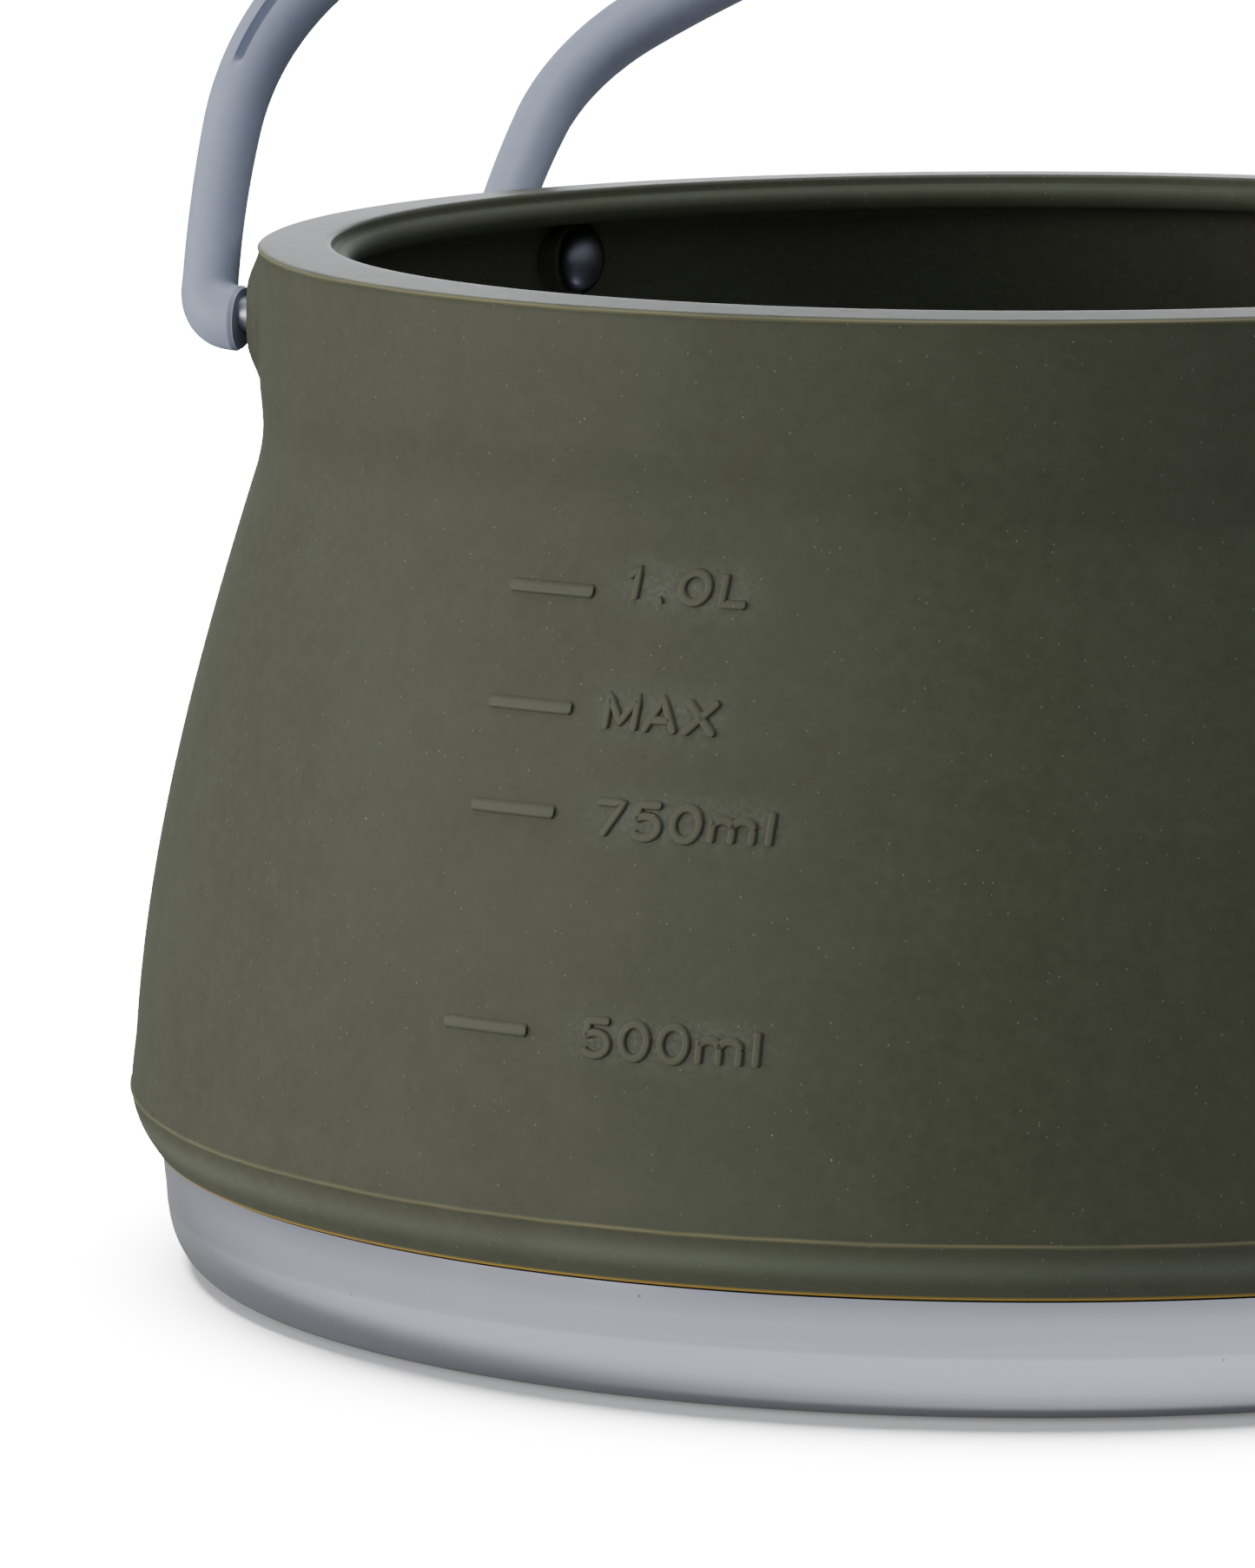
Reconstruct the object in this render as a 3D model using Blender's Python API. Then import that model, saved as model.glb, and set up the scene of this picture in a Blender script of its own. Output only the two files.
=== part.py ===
"""Collapsible camping kettle: steel pan, folding silicone body and two bow handles.

Metres, +Z up. The origin is the centre of the flat bottom, on the kettle's axis,
and +X points out of the spout. The body stands fully raised.
"""

import math

import bmesh
import bpy
from mathutils import Matrix, Vector

MM = 0.001

# Round pieces
SEGMENTS = 60
GAP = 0.3 * MM

# Steel pan
PAN_FLAT_R = 69.5 * MM
PAN_WALL_R = 73.5 * MM
PAN_BEND_R = 73.0 * MM
PAN_BEND_Z = 5.8 * MM
PAN_VISIBLE_H = 9.9 * MM
PAN_SHEET = 0.7 * MM
PAN_NECK_R = 72.7 * MM
PAN_NECK_Z = 10.9 * MM
PAN_FLANGE_R = 74.9 * MM
PAN_FLANGE_Z = 14.6 * MM
PAN_GROOVE_R = (47.0 * MM, 50.0 * MM, 53.0 * MM)
PAN_GROOVE_DEPTH = 0.5 * MM

# Silicone body: outer radii and heights
LIP_R = 74.1 * MM
LIP_Z = 10.4 * MM
CREST_R = 76.15 * MM
CREST_Z = 15.4 * MM
SHOULDER_R = 75.6 * MM
SHOULDER_Z = 20.0 * MM
WALL_TOP_R = 65.0 * MM
WALL_TOP_Z = 68.0 * MM
WALL_LOW_SLOPE = -0.07
WALL_TOP_SLOPE = -0.32
WALL_THICK = 1.7 * MM
HINGE_THICK = 1.1 * MM
NECK_R = 64.4 * MM
NECK_Z = 71.6 * MM

# Collar and mouth
COLLAR_R = 64.7 * MM
COLLAR_INNER_R = 62.2 * MM
RIM_Z = 87.0 * MM
RIM_EDGE_R = 64.1 * MM
RIM_CHAMFER_H = 0.5 * MM
SEAT_R = 58.6 * MM
SEAT_DROP = 0.9 * MM
MOUTH_R = 57.0 * MM
FLANGE_THICK = 2.1 * MM

# Spout
SPOUT_ROOT_X = 61.2 * MM
SPOUT_TIP_X = 82.0 * MM
SPOUT_ROOT_HALF_W = 15.0 * MM
SPOUT_TIP_HALF_W = 4.6 * MM
SPOUT_ROOT_Z = 73.2 * MM
SPOUT_TIP_Z = 83.8 * MM
SPOUT_RISE = 1.6 * MM
SPOUT_WALL = 1.9 * MM
SPOUT_ROUND = 0.72

# Handle pivots
HINGE_Y = 26.6 * MM
HINGE_Z = 80.4 * MM
BOSS_TOP_R = 65.8 * MM
BOSS_ROOT_R = 64.2 * MM
BOSS_TOP_RADIUS = 2.9 * MM
BOSS_ROOT_RADIUS = 6.1 * MM
BOSS_FACE_X = 60.35 * MM
BOSS_FACE_RADIUS = 4.0 * MM
PAD_RADIUS = 3.8 * MM
PAD_FACE_X = 56.0 * MM
PAD_ROOT_R = 63.4 * MM
SPOT_FACE_RADIUS = 4.3 * MM

# Handle bows, drawn upright in their own plane: u along the hinge, v away from it
WIRE_RADIUS = 1.55 * MM
FOOT_HALF_SPAN = 64.45 * MM
FOOT_LEAN = math.radians(9.5)
ELBOW_R = 2.8 * MM
LEG_R = 98.4 * MM
LEG_END_ANGLE = math.radians(-0.8)
CORNER_R = 21.6 * MM
CORNER_END_ANGLE = math.radians(39.3)
WIRE_END_U = 54.9 * MM
SLEEVE_END_U = 60.9 * MM
SLEEVE_LEG_RADIUS = 2.42 * MM
HEEL_EXTRA = 0.9 * MM
HEEL_RUN = 6.0 * MM
GRIP_HALF_WIDTH = 3.3 * MM
GRIP_HALF_THICK = 2.9 * MM
GRIP_SWELL_START = 9.0 * MM
GRIP_SWELL_END = 53.0 * MM
GROOVE_START = 24.0 * MM
GROOVE_RUN_IN = 12.0 * MM
GROOVE_WIDTH = 0.9 * MM
GROOVE_DEPTH = 0.45 * MM
CAP_RADIUS = 2.7 * MM
CAP_LENGTH = 2.3 * MM
CAP_BORE_DEPTH = 1.1 * MM

# How far each bow leans out from upright as the kettle stands
LEFT_SPLAY = math.radians(51.0)
RIGHT_SPLAY = math.radians(-26.9)

FINISHES = {
    "steel": ((0.52, 0.52, 0.54), 0.30, 1.0),
    "olive_silicone": ((0.078, 0.082, 0.052), 0.62, 0.0),
    "grey_silicone": ((0.33, 0.35, 0.40), 0.55, 0.0),
}


def clear_scene():
    """Remove every object that the file opened with."""
    for item in list(bpy.data.objects):
        bpy.data.objects.remove(item, do_unlink=True)


def make_material(name, finish):
    """Give one sub-part its own Principled material."""
    colour, roughness, metallic = FINISHES[finish]
    material = bpy.data.materials.new(name)
    material.use_nodes = True
    shader = material.node_tree.nodes["Principled BSDF"]
    shader.inputs["Base Color"].default_value = (*colour, 1.0)
    shader.inputs["Roughness"].default_value = roughness
    shader.inputs["Metallic"].default_value = metallic
    return material


def add_object(name, bm, finish=None, parent=None):
    """Link a bmesh as an object; without a finish it is a hidden wire guide."""
    bmesh.ops.recalc_face_normals(bm, faces=bm.faces)
    mesh = bpy.data.meshes.new(name)
    bm.to_mesh(mesh)
    bm.free()
    item = bpy.data.objects.new(name, mesh)
    bpy.context.collection.objects.link(item)
    item.parent = parent
    if finish is None:
        item.hide_render = True
        item.display_type = "WIRE"
    else:
        mesh.materials.append(make_material(name, finish))
        mesh.shade_smooth()
        mesh.set_sharp_from_angle(angle=math.radians(35.0))
    return item


def revolve(profile, closed=True, segments=SEGMENTS):
    """Spin (radius, height) points about Z; a closed profile makes a ring."""
    bm = bmesh.new()
    verts = [bm.verts.new((radius, 0.0, height)) for radius, height in profile]
    edges = [bm.edges.new(pair) for pair in zip(verts, verts[1:])]
    if closed:
        edges.append(bm.edges.new((verts[-1], verts[0])))
    bmesh.ops.spin(
        bm, geom=verts + edges, cent=(0, 0, 0), axis=(0, 0, 1),
        angle=2 * math.pi, steps=segments, use_merge=True,
    )
    bmesh.ops.remove_doubles(bm, verts=bm.verts, dist=0.01 * MM)
    return bm


def skin(bm, rows):
    """Join rows of points, each a closed loop, by a band of faces; return the rings."""
    rings = [[bm.verts.new(point) for point in row] for row in rows]
    for low, high in zip(rings, rings[1:]):
        for i in range(len(low)):
            j = (i + 1) % len(low)
            bm.faces.new((low[i], low[j], high[j], high[i]))
    return rings


def cap_ends(bm, rings):
    """Close the first and the last ring with a face each."""
    bm.faces.new(rings[0][::-1])
    bm.faces.new(rings[-1])


def arc(centre, radius, start, end, steps):
    """Points on an arc from one angle to another, both ends included."""
    return [
        (centre[0] + radius * math.cos(start + (end - start) * i / steps),
         centre[1] + radius * math.sin(start + (end - start) * i / steps))
        for i in range(steps + 1)
    ]


def quarter_ellipse(corner, width, height, steps):
    """Points from (corner.x, 0) out and up to the wall, for a rounded bottom edge."""
    return [
        (corner + width * math.sin(0.5 * math.pi * i / steps),
         height * (1.0 - math.cos(0.5 * math.pi * i / steps)))
        for i in range(steps + 1)
    ]


def wall_radius(z):
    """Outer radius of the body wall: a cubic with a given slope at its foot and its top."""
    rise = WALL_TOP_Z - SHOULDER_Z
    t = (z - SHOULDER_Z) / rise
    foot = (2 * t ** 3 - 3 * t ** 2 + 1) * SHOULDER_R
    foot += (t ** 3 - 2 * t ** 2 + t) * rise * WALL_LOW_SLOPE
    top = (3 * t ** 2 - 2 * t ** 3) * WALL_TOP_R
    top += (t ** 3 - t ** 2) * rise * WALL_TOP_SLOPE
    return foot + top


def build_pan():
    """Deep-drawn pan: rounded foot, slightly flared wall and a flange that the body grips."""
    inner_r, middle_r, outer_r = PAN_GROOVE_R
    foot = quarter_ellipse(PAN_FLAT_R, PAN_BEND_R - PAN_FLAT_R, PAN_BEND_Z, 3)
    outer = [(0.0, 0.0), (inner_r, 0.0), (middle_r, PAN_GROOVE_DEPTH), (outer_r, 0.0)]
    outer += foot
    outer += [(PAN_WALL_R, PAN_VISIBLE_H), (PAN_NECK_R, PAN_NECK_Z),
              (PAN_NECK_R, PAN_FLANGE_Z - PAN_SHEET), (PAN_FLANGE_R, PAN_FLANGE_Z - PAN_SHEET),
              (PAN_FLANGE_R, PAN_FLANGE_Z)]
    sheet = PAN_SHEET
    inner = [(PAN_NECK_R - sheet, PAN_FLANGE_Z), (PAN_NECK_R - sheet, PAN_NECK_Z),
             (PAN_WALL_R - sheet, PAN_VISIBLE_H), (PAN_BEND_R - sheet, PAN_BEND_Z)]
    inner += [(r - sheet, z + sheet) for r, z in reversed(foot[:-1])]
    inner += [(outer_r, sheet), (middle_r, sheet + PAN_GROOVE_DEPTH), (inner_r, sheet),
              (0.0, sheet)]
    return add_object("base_pan", revolve(outer + inner, closed=False), "steel")


def build_skirt():
    """Lower cuff of the body, wrapped round the pan's flange."""
    bulge = [
        (CREST_R - (CREST_R - LIP_R) * (1.0 - math.sin(angle)) ** 1.15,
         LIP_Z + 0.6 * MM + (CREST_Z - LIP_Z - 0.6 * MM) * (1.0 - math.cos(angle)))
        for angle in (0.5 * math.pi * i / 4 for i in range(5))
    ]
    upper = [(CREST_R - 0.22 * MM, CREST_Z + 1.5 * MM), (SHOULDER_R, SHOULDER_Z)]
    inner = [
        (SHOULDER_R - HINGE_THICK, SHOULDER_Z),
        (PAN_NECK_R + 0.4 * MM, CREST_Z + 1.4 * MM),
        (PAN_NECK_R - PAN_SHEET, PAN_FLANGE_Z + GAP),
        (PAN_FLANGE_R + GAP, PAN_FLANGE_Z + GAP),
        (PAN_FLANGE_R + GAP, PAN_FLANGE_Z - PAN_SHEET - GAP),
        (PAN_NECK_R + GAP, PAN_FLANGE_Z - PAN_SHEET - GAP),
        (PAN_NECK_R + GAP, PAN_NECK_Z + GAP),
        (PAN_WALL_R + 0.2 * MM, LIP_Z),
        (LIP_R - 0.1 * MM, LIP_Z),
    ]
    return add_object("base_skirt", revolve(bulge + upper + inner), "olive_silicone")


def build_wall():
    """Folding wall, thinned to a hinge where it meets the cuff and the collar."""
    steps = 6
    low, high = SHOULDER_Z + GAP, WALL_TOP_Z - GAP
    heights = [low + (high - low) * i / steps for i in range(steps + 1)]
    outer = [(wall_radius(z), z) for z in heights]
    inner = []
    for z in reversed(heights):
        middle = math.sin(math.pi * (z - low) / (high - low)) ** 0.5 if low < z < high else 0.0
        inner.append((wall_radius(z) - HINGE_THICK - (WALL_THICK - HINGE_THICK) * middle, z))
    return add_object("folding_wall", revolve(outer + inner), "olive_silicone")


def collar_profile():
    """Neck, upright collar, rounded rim, lid seat and the lip round the mouth."""
    neck = [(WALL_TOP_R, WALL_TOP_Z), (NECK_R + 0.22 * MM, WALL_TOP_Z + 2.0 * MM),
            (NECK_R, NECK_Z), (COLLAR_R - 0.08 * MM, NECK_Z + 3.0 * MM)]
    edge_w = COLLAR_R - RIM_EDGE_R
    rim = [(RIM_EDGE_R + edge_w * math.cos(angle), RIM_Z - RIM_CHAMFER_H * (1.0 - math.sin(angle)))
           for angle in (0.5 * math.pi * i / 3 for i in range(4))]
    seat_z = RIM_Z - SEAT_DROP
    half = FLANGE_THICK / 2
    lip = arc((MOUTH_R + half, seat_z - half), half, math.pi / 2, 3 * math.pi / 2, 4)
    under_z = seat_z - FLANGE_THICK
    inner = [(COLLAR_INNER_R - 1.0 * MM, under_z), (COLLAR_INNER_R, under_z - 1.0 * MM),
             (COLLAR_INNER_R, NECK_Z), (WALL_TOP_R - HINGE_THICK, WALL_TOP_Z)]
    return neck + rim + [(SEAT_R, RIM_Z), (SEAT_R - 0.2 * MM, seat_z)] + lip + inner


def spout_half_width(t):
    """Plan shape of the spout: straight sides, then a rounded beak."""
    width = SPOUT_ROOT_HALF_W + (SPOUT_TIP_HALF_W - SPOUT_ROOT_HALF_W) * t / SPOUT_ROUND
    if t <= SPOUT_ROUND:
        return width
    past = (t - SPOUT_ROUND) / (1.0 - SPOUT_ROUND)
    return SPOUT_TIP_HALF_W * math.sqrt(max(1.0 - past * past, 0.0))


def spout_section(x, half_w, top_z, bottom_z, steps=10):
    """A U-shaped section across the spout, open ends at the top."""
    depth = top_z - bottom_z
    return [
        Vector((x, half_w * math.cos(math.pi * i / steps),
                top_z - depth * math.sin(math.pi * i / steps) ** 0.8))
        for i in range(steps + 1)
    ]


def loft(sections):
    """Close a solid through sections that have the same number of points."""
    bm = bmesh.new()
    cap_ends(bm, skin(bm, sections))
    bmesh.ops.triangulate(bm, faces=[face for face in bm.faces if len(face.verts) > 4])
    return bm


def spout_heights(t):
    """Top and bottom height of the spout at a share t of its reach."""
    return RIM_Z + SPOUT_RISE * t * t, SPOUT_ROOT_Z + (SPOUT_TIP_Z - SPOUT_ROOT_Z) * t ** 1.3


def build_spout_blank():
    """Outer form of the spout, a solid wedge set into the collar."""
    sections = []
    for t in (0.0, 0.2, 0.4, 0.6, SPOUT_ROUND, 0.84, 0.93, 0.985):
        top, bottom = spout_heights(t)
        x = SPOUT_ROOT_X + (SPOUT_TIP_X - SPOUT_ROOT_X) * t
        sections.append(spout_section(x, spout_half_width(t), top, bottom))
    return add_object("spout_blank", loft(sections))


def build_spout_channel():
    """Space that is cut out for the pour, from inside the mouth to the beak."""
    reach = SPOUT_TIP_X - SPOUT_ROOT_X
    open_z = RIM_Z + 6.0 * MM
    sections = []
    for x, t in [(MOUTH_R - 6.0 * MM, 0.0)] + [
            (SPOUT_ROOT_X + reach * t, t) for t in (0.0, 0.2, 0.4, 0.6, SPOUT_ROUND, 0.82, 0.89)]:
        top, bottom = spout_heights(t)
        half_w = max(spout_half_width(t) - SPOUT_WALL, 0.8 * MM)
        section = spout_section(x, half_w, top, bottom + SPOUT_WALL)
        lid = [Vector((x, section[-1].y, open_z)), Vector((x, section[0].y, open_z))]
        sections.append(section + lid)
    return add_object("spout_channel", loft(sections))


def turn_solid(bm, hinge, end, stations, sides):
    """A solid turned about the hinge line from (distance, radius) stations.

    A distance is a number, or a function of the point's Y where the end follows a wall.
    """
    rows = []
    for distance, radius in stations:
        row = []
        for i in range(sides):
            turn = 2 * math.pi * i / sides
            point = hinge + Vector((0.0, radius * math.cos(turn), radius * math.sin(turn)))
            point.x = end * (distance(point.y) if callable(distance) else distance)
            row.append(point)
        rows.append(row)
    cap_ends(bm, skin(bm, rows))


def pad_root(y):
    """Distance from the middle to the collar's mid-wall at a given Y."""
    return math.sqrt(PAD_ROOT_R ** 2 - y * y)


def add_cone(bm, start, end, radius_start, radius_end, sides=20):
    """A closed cone or cylinder between two points, added to a bmesh."""
    axis = end - start
    turn = axis.to_track_quat("Z", "Y").to_matrix().to_4x4()
    bmesh.ops.create_cone(
        bm, cap_ends=True, segments=sides, radius1=radius_start, radius2=radius_end,
        depth=axis.length, matrix=Matrix.Translation((start + end) / 2) @ turn,
    )


def pivot_directions():
    """Unit vectors from the axis to the four pivots, and their hinge points."""
    angle = math.asin(HINGE_Y / BOSS_TOP_R)
    for end in (-1.0, 1.0):
        for side in (-1.0, 1.0):
            yield end, side, Vector((end * math.cos(angle), side * math.sin(angle), 0.0))


def build_pivot_guides():
    """Boss and pad blanks to add, then the recesses and pin holes to cut."""
    bosses, pads, cuts = bmesh.new(), bmesh.new(), bmesh.new()
    lift = Vector((0.0, 0.0, HINGE_Z))
    for end, side, out in pivot_directions():
        add_cone(bosses, lift + out * BOSS_ROOT_R, lift + out * BOSS_TOP_R,
                 BOSS_ROOT_RADIUS, BOSS_TOP_RADIUS)
        hinge = Vector((0.0, side * HINGE_Y, HINGE_Z))
        pad = [(PAD_FACE_X - 0.4 * MM, PAD_RADIUS), (pad_root, PAD_RADIUS)]
        turn_solid(pads, hinge, end, pad, 20)
        bore = WIRE_RADIUS + GAP
        cut = [(46.0 * MM, SPOT_FACE_RADIUS), (PAD_FACE_X, SPOT_FACE_RADIUS), (PAD_FACE_X, bore),
               (BOSS_FACE_X, bore), (BOSS_FACE_X, BOSS_FACE_RADIUS), (71.0 * MM, BOSS_FACE_RADIUS)]
        turn_solid(cuts, hinge, end, cut, 20)
    return (add_object("boss_blanks", bosses), add_object("pad_blanks", pads),
            add_object("pivot_cuts", cuts))


def build_collar():
    """Collar with its four pivot bosses and the spout, in one silicone moulding."""
    collar = add_object("spout_collar", revolve(collar_profile()), "olive_silicone")
    bosses, pads, cuts = build_pivot_guides()
    steps = (
        ("add_spout", build_spout_blank(), "UNION"),
        ("add_bosses", bosses, "UNION"),
        ("add_pads", pads, "UNION"),
        ("cut_channel", build_spout_channel(), "DIFFERENCE"),
        ("cut_pivots", cuts, "DIFFERENCE"),
    )
    for name, tool, operation in steps:
        boolean = collar.modifiers.new(name, "BOOLEAN")
        boolean.operation = operation
        boolean.solver = "EXACT"
        boolean.object = tool
    return collar


def carry_on(points, radius, heading, steps):
    """Carry a path on along an arc until it heads a given angle inward from upright."""
    u, v, angle = points[-1]
    first = math.pi / 2 - angle
    for i in range(1, steps + 1):
        turn = first + (heading - first) * i / steps
        points.append((u + radius * (math.cos(first) - math.cos(turn)),
                       v + radius * (math.sin(turn) - math.sin(first)),
                       math.pi / 2 - turn))


def bow_path(start_u):
    """Centre line of a bow as (u, v, tangent angle) from one pin to the crown's middle.

    The tangent angle is measured from the hinge direction: 180 degrees on the pin, which
    points outward, and 90 degrees where the bow runs straight up.
    """
    points = [(-start_u, 0.0, math.pi), (ELBOW_R - FOOT_HALF_SPAN, 0.0, math.pi)]
    carry_on(points, ELBOW_R, -FOOT_LEAN, 3)
    carry_on(points, LEG_R, LEG_END_ANGLE, 2)
    carry_on(points, CORNER_R, CORNER_END_ANGLE, 4)
    crown_r = -points[-1][0] / math.cos(CORNER_END_ANGLE)
    carry_on(points, crown_r, math.pi / 2, 6)
    return points


def whole_path(half):
    """Mirror a half path about the crown's middle."""
    mirrored = [(-u, v, -angle) for u, v, angle in reversed(half[:-1])]
    return half + mirrored


def with_lengths(path):
    """Pair each path point with its distance from the nearer end."""
    run = [0.0]
    for (u0, v0, _), (u1, v1, _) in zip(path, path[1:]):
        run.append(run[-1] + math.hypot(u1 - u0, v1 - v0))
    return [(point, min(s, run[-1] - s)) for point, s in zip(path, run)]


def smooth_step(value, low, high):
    """Ease from 0 at low to 1 at high."""
    t = min(max((value - low) / (high - low), 0.0), 1.0)
    return t * t * (3.0 - 2.0 * t)


def sleeve_section(distance, side):
    """Outer section of the sleeve as (across, outward) points, with its moulded groove.

    Positive across is the outside of the bend, where the heel is fuller.
    """
    swell = smooth_step(distance, GRIP_SWELL_START, GRIP_SWELL_END)
    heel = HEEL_EXTRA * (1.0 - smooth_step(distance, 0.0, HEEL_RUN))
    half_w = SLEEVE_LEG_RADIUS + (GRIP_HALF_WIDTH - SLEEVE_LEG_RADIUS) * swell
    half_t = SLEEVE_LEG_RADIUS + (GRIP_HALF_THICK - SLEEVE_LEG_RADIUS) * swell
    depth = GROOVE_DEPTH * smooth_step(distance, GROOVE_START, GROOVE_START + GROOVE_RUN_IN)
    edge = math.asin(0.5 * GROOVE_WIDTH / half_w)
    round_steps = 13
    section = []
    for i in range(round_steps + 1):
        angle = edge + (2 * math.pi - 2 * edge) * i / round_steps
        outside = max(math.sin(angle), 0.0)
        section.append((half_w * math.sin(angle) + heel * outside,
                        side * half_t * math.cos(angle)))
    floor = half_t * math.cos(edge) - depth
    section.append((-0.35 * GROOVE_WIDTH, side * floor))
    section.append((0.35 * GROOVE_WIDTH, side * floor))
    return section


def circle_section(radius, sides, side=1.0):
    """A round section as (across, outward) points."""
    return [(radius * math.sin(2 * math.pi * i / sides),
             side * radius * math.cos(2 * math.pi * i / sides)) for i in range(sides)]


def place_section(point, section):
    """Set a section square to the path, in the bow's own upright plane."""
    u, v, angle = point
    return [Vector((u - across * math.sin(angle), outward, v + across * math.cos(angle)))
            for across, outward in section]


def sweep_rod(sections):
    """A solid rod through its sections."""
    bm = bmesh.new()
    cap_ends(bm, skin(bm, sections))
    return bm


def sweep_sleeve(sections, bores):
    """A tube: each end joins a loop of the skin to a bore loop of half as many points.

    The bore loops start one point later, so that they lie square to the skin's.
    """
    bm = bmesh.new()
    outer = skin(bm, sections)
    inner = skin(bm, [row[1:] + row[:1] for row in bores])
    for end in (0, -1):
        big, small = outer[end], inner[end]
        for i in range(len(small)):
            j = (i + 1) % len(small)
            bm.faces.new((big[2 * i], big[2 * i + 1], small[i]))
            bm.faces.new((big[2 * i + 1], big[(2 * i + 2) % len(big)], small[j], small[i]))
    return bm


def build_handle(name, side, splay):
    """One bow: wire with its pins, grey sleeve over it and a dome cap on each pin."""
    hinge = bpy.data.objects.new(name + "_handle_axis", None)
    bpy.context.collection.objects.link(hinge)
    hinge.location = (0.0, side * HINGE_Y, HINGE_Z)
    hinge.rotation_euler = (-side * splay, 0.0, 0.0)

    wire = [place_section(point, circle_section(WIRE_RADIUS, 8))
            for point in whole_path(bow_path(WIRE_END_U))]
    add_object("handle_wire_" + name, sweep_rod(wire), "steel", hinge)

    path = with_lengths(whole_path(bow_path(SLEEVE_END_U)))
    outer = [place_section(point, sleeve_section(distance, side)) for point, distance in path]
    bore = [place_section(point, circle_section(WIRE_RADIUS + GAP, 8, side)) for point, _ in path]
    add_object("handle_sleeve_" + name, sweep_sleeve(outer, bore), "grey_silicone", hinge)

    for end, place in ((-1.0, "rear"), (1.0, "front")):
        add_object("pivot_cap_" + place + "_" + name, cap_mesh(end), "steel", hinge)


def cap_mesh(end):
    """Dome cap pushed on the pin's inner end, with a blind bore for it."""
    back = PAD_FACE_X - GAP
    bore_r = WIRE_RADIUS + GAP
    dome = [(back - CAP_LENGTH * math.cos(angle), CAP_RADIUS * math.sin(angle))
            for angle in (0.5 * math.pi * i / 4 for i in range(1, 4))]
    stations = [(back - CAP_BORE_DEPTH, bore_r), (back, bore_r), (back, CAP_RADIUS)]
    bm = bmesh.new()
    turn_solid(bm, Vector((0.0, 0.0, 0.0)), end, stations + dome[::-1], 14)
    return bm


def main():
    clear_scene()
    build_pan()
    build_skirt()
    build_wall()
    build_collar()
    build_handle("left", 1.0, LEFT_SPLAY)
    build_handle("right", -1.0, RIGHT_SPLAY)


main()
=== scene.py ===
"""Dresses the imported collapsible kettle: silicone body, steel pan and two bow handles.

Lengths inside the classes are in millimetres; meshes are scaled to metres as they are made.
The row frame has its origin at the middle of the flat bottom, +Z up and +X out of the spout.
"""

from __future__ import annotations

import logging
import math
from collections.abc import Callable, Iterable, Sequence
from dataclasses import asdict, dataclass, field, replace
from enum import Enum

import bmesh
import bpy
import numpy as np
from mathutils import Matrix, Vector


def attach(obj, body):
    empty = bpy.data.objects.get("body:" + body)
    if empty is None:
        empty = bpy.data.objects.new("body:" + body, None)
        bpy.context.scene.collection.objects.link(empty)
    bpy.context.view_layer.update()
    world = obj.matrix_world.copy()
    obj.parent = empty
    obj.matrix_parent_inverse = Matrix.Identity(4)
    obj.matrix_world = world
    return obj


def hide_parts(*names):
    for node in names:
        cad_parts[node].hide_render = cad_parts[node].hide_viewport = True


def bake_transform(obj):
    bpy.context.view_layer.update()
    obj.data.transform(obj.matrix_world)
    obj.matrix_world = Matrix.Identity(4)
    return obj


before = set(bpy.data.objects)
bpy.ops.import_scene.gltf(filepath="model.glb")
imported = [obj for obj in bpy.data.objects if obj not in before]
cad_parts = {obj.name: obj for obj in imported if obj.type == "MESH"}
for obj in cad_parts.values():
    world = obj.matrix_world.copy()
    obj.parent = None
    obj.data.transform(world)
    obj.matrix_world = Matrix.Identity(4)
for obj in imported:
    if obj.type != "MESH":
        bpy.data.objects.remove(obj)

LOG = logging.getLogger("kettle")
MM = 0.001
REST_PLACE = "rest_place"
WELD = 1e-7

Number = float | int
Colour = tuple[float, float, float]
Path = list[tuple[float, float]]
Point = tuple[float, float, float]
Item = bpy.types.Object
Material = bpy.types.Material
Mesh = bpy.types.Mesh
Socket = bpy.types.NodeSocket
Tree = bpy.types.NodeTree


class Side(Enum):
    """The two handles, by the sign of Y at their hinge."""

    LEFT = 1.0
    RIGHT = -1.0

    @property
    def word(self) -> str:
        """The side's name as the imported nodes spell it."""
        return self.name.lower()


class Body(Enum):
    """The two CAD bodies that the silicone joins."""

    BASE = "base"
    COLLAR = "collar"


class Slot(Enum):
    """The record's material slots."""

    PAN = "pan_steel"
    WIRE = "wire_steel"
    OLIVE = "olive_silicone"
    GREY = "grey_silicone"


def srgb(red: int, green: int, blue: int) -> Colour:
    """A colour given in 8-bit screen values, as linear light."""
    return tuple(
        (c / 255 / 12.92) if c <= 10 else ((c / 255 + 0.055) / 1.055) ** 2.4
        for c in (red, green, blue)
    )


DUST = srgb(168, 168, 156)
TRIMMED_EDGE = srgb(150, 122, 44)
# Lighter, bluer colour of a painted highlight band round the cuff.
PARTING_FLASH = srgb(126, 121, 86)
CUFF_SHEEN = srgb(104, 108, 94)
FROST = srgb(112, 116, 110)
BLACK = (0.0, 0.0, 0.0)
GRIME = (0.1, 0.1, 0.1)


def operator(operation: str, backward: bool = False) -> Callable[..., Signal]:
    """Make a Signal method that adds a Math node.

    Args:
        operation: The Math node's operation.
        backward: True if the signal is the last operand instead of the first.

    Returns:
        The method, which takes the other operands.
    """
    def method(self: Signal, *others: Value) -> Signal:
        """Add the node and give its value."""
        operands = (*others, self) if backward else (self, *others)
        return self.graph.node("ShaderNodeMath", {"operation": operation}, dict(enumerate(operands)))

    return method


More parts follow.
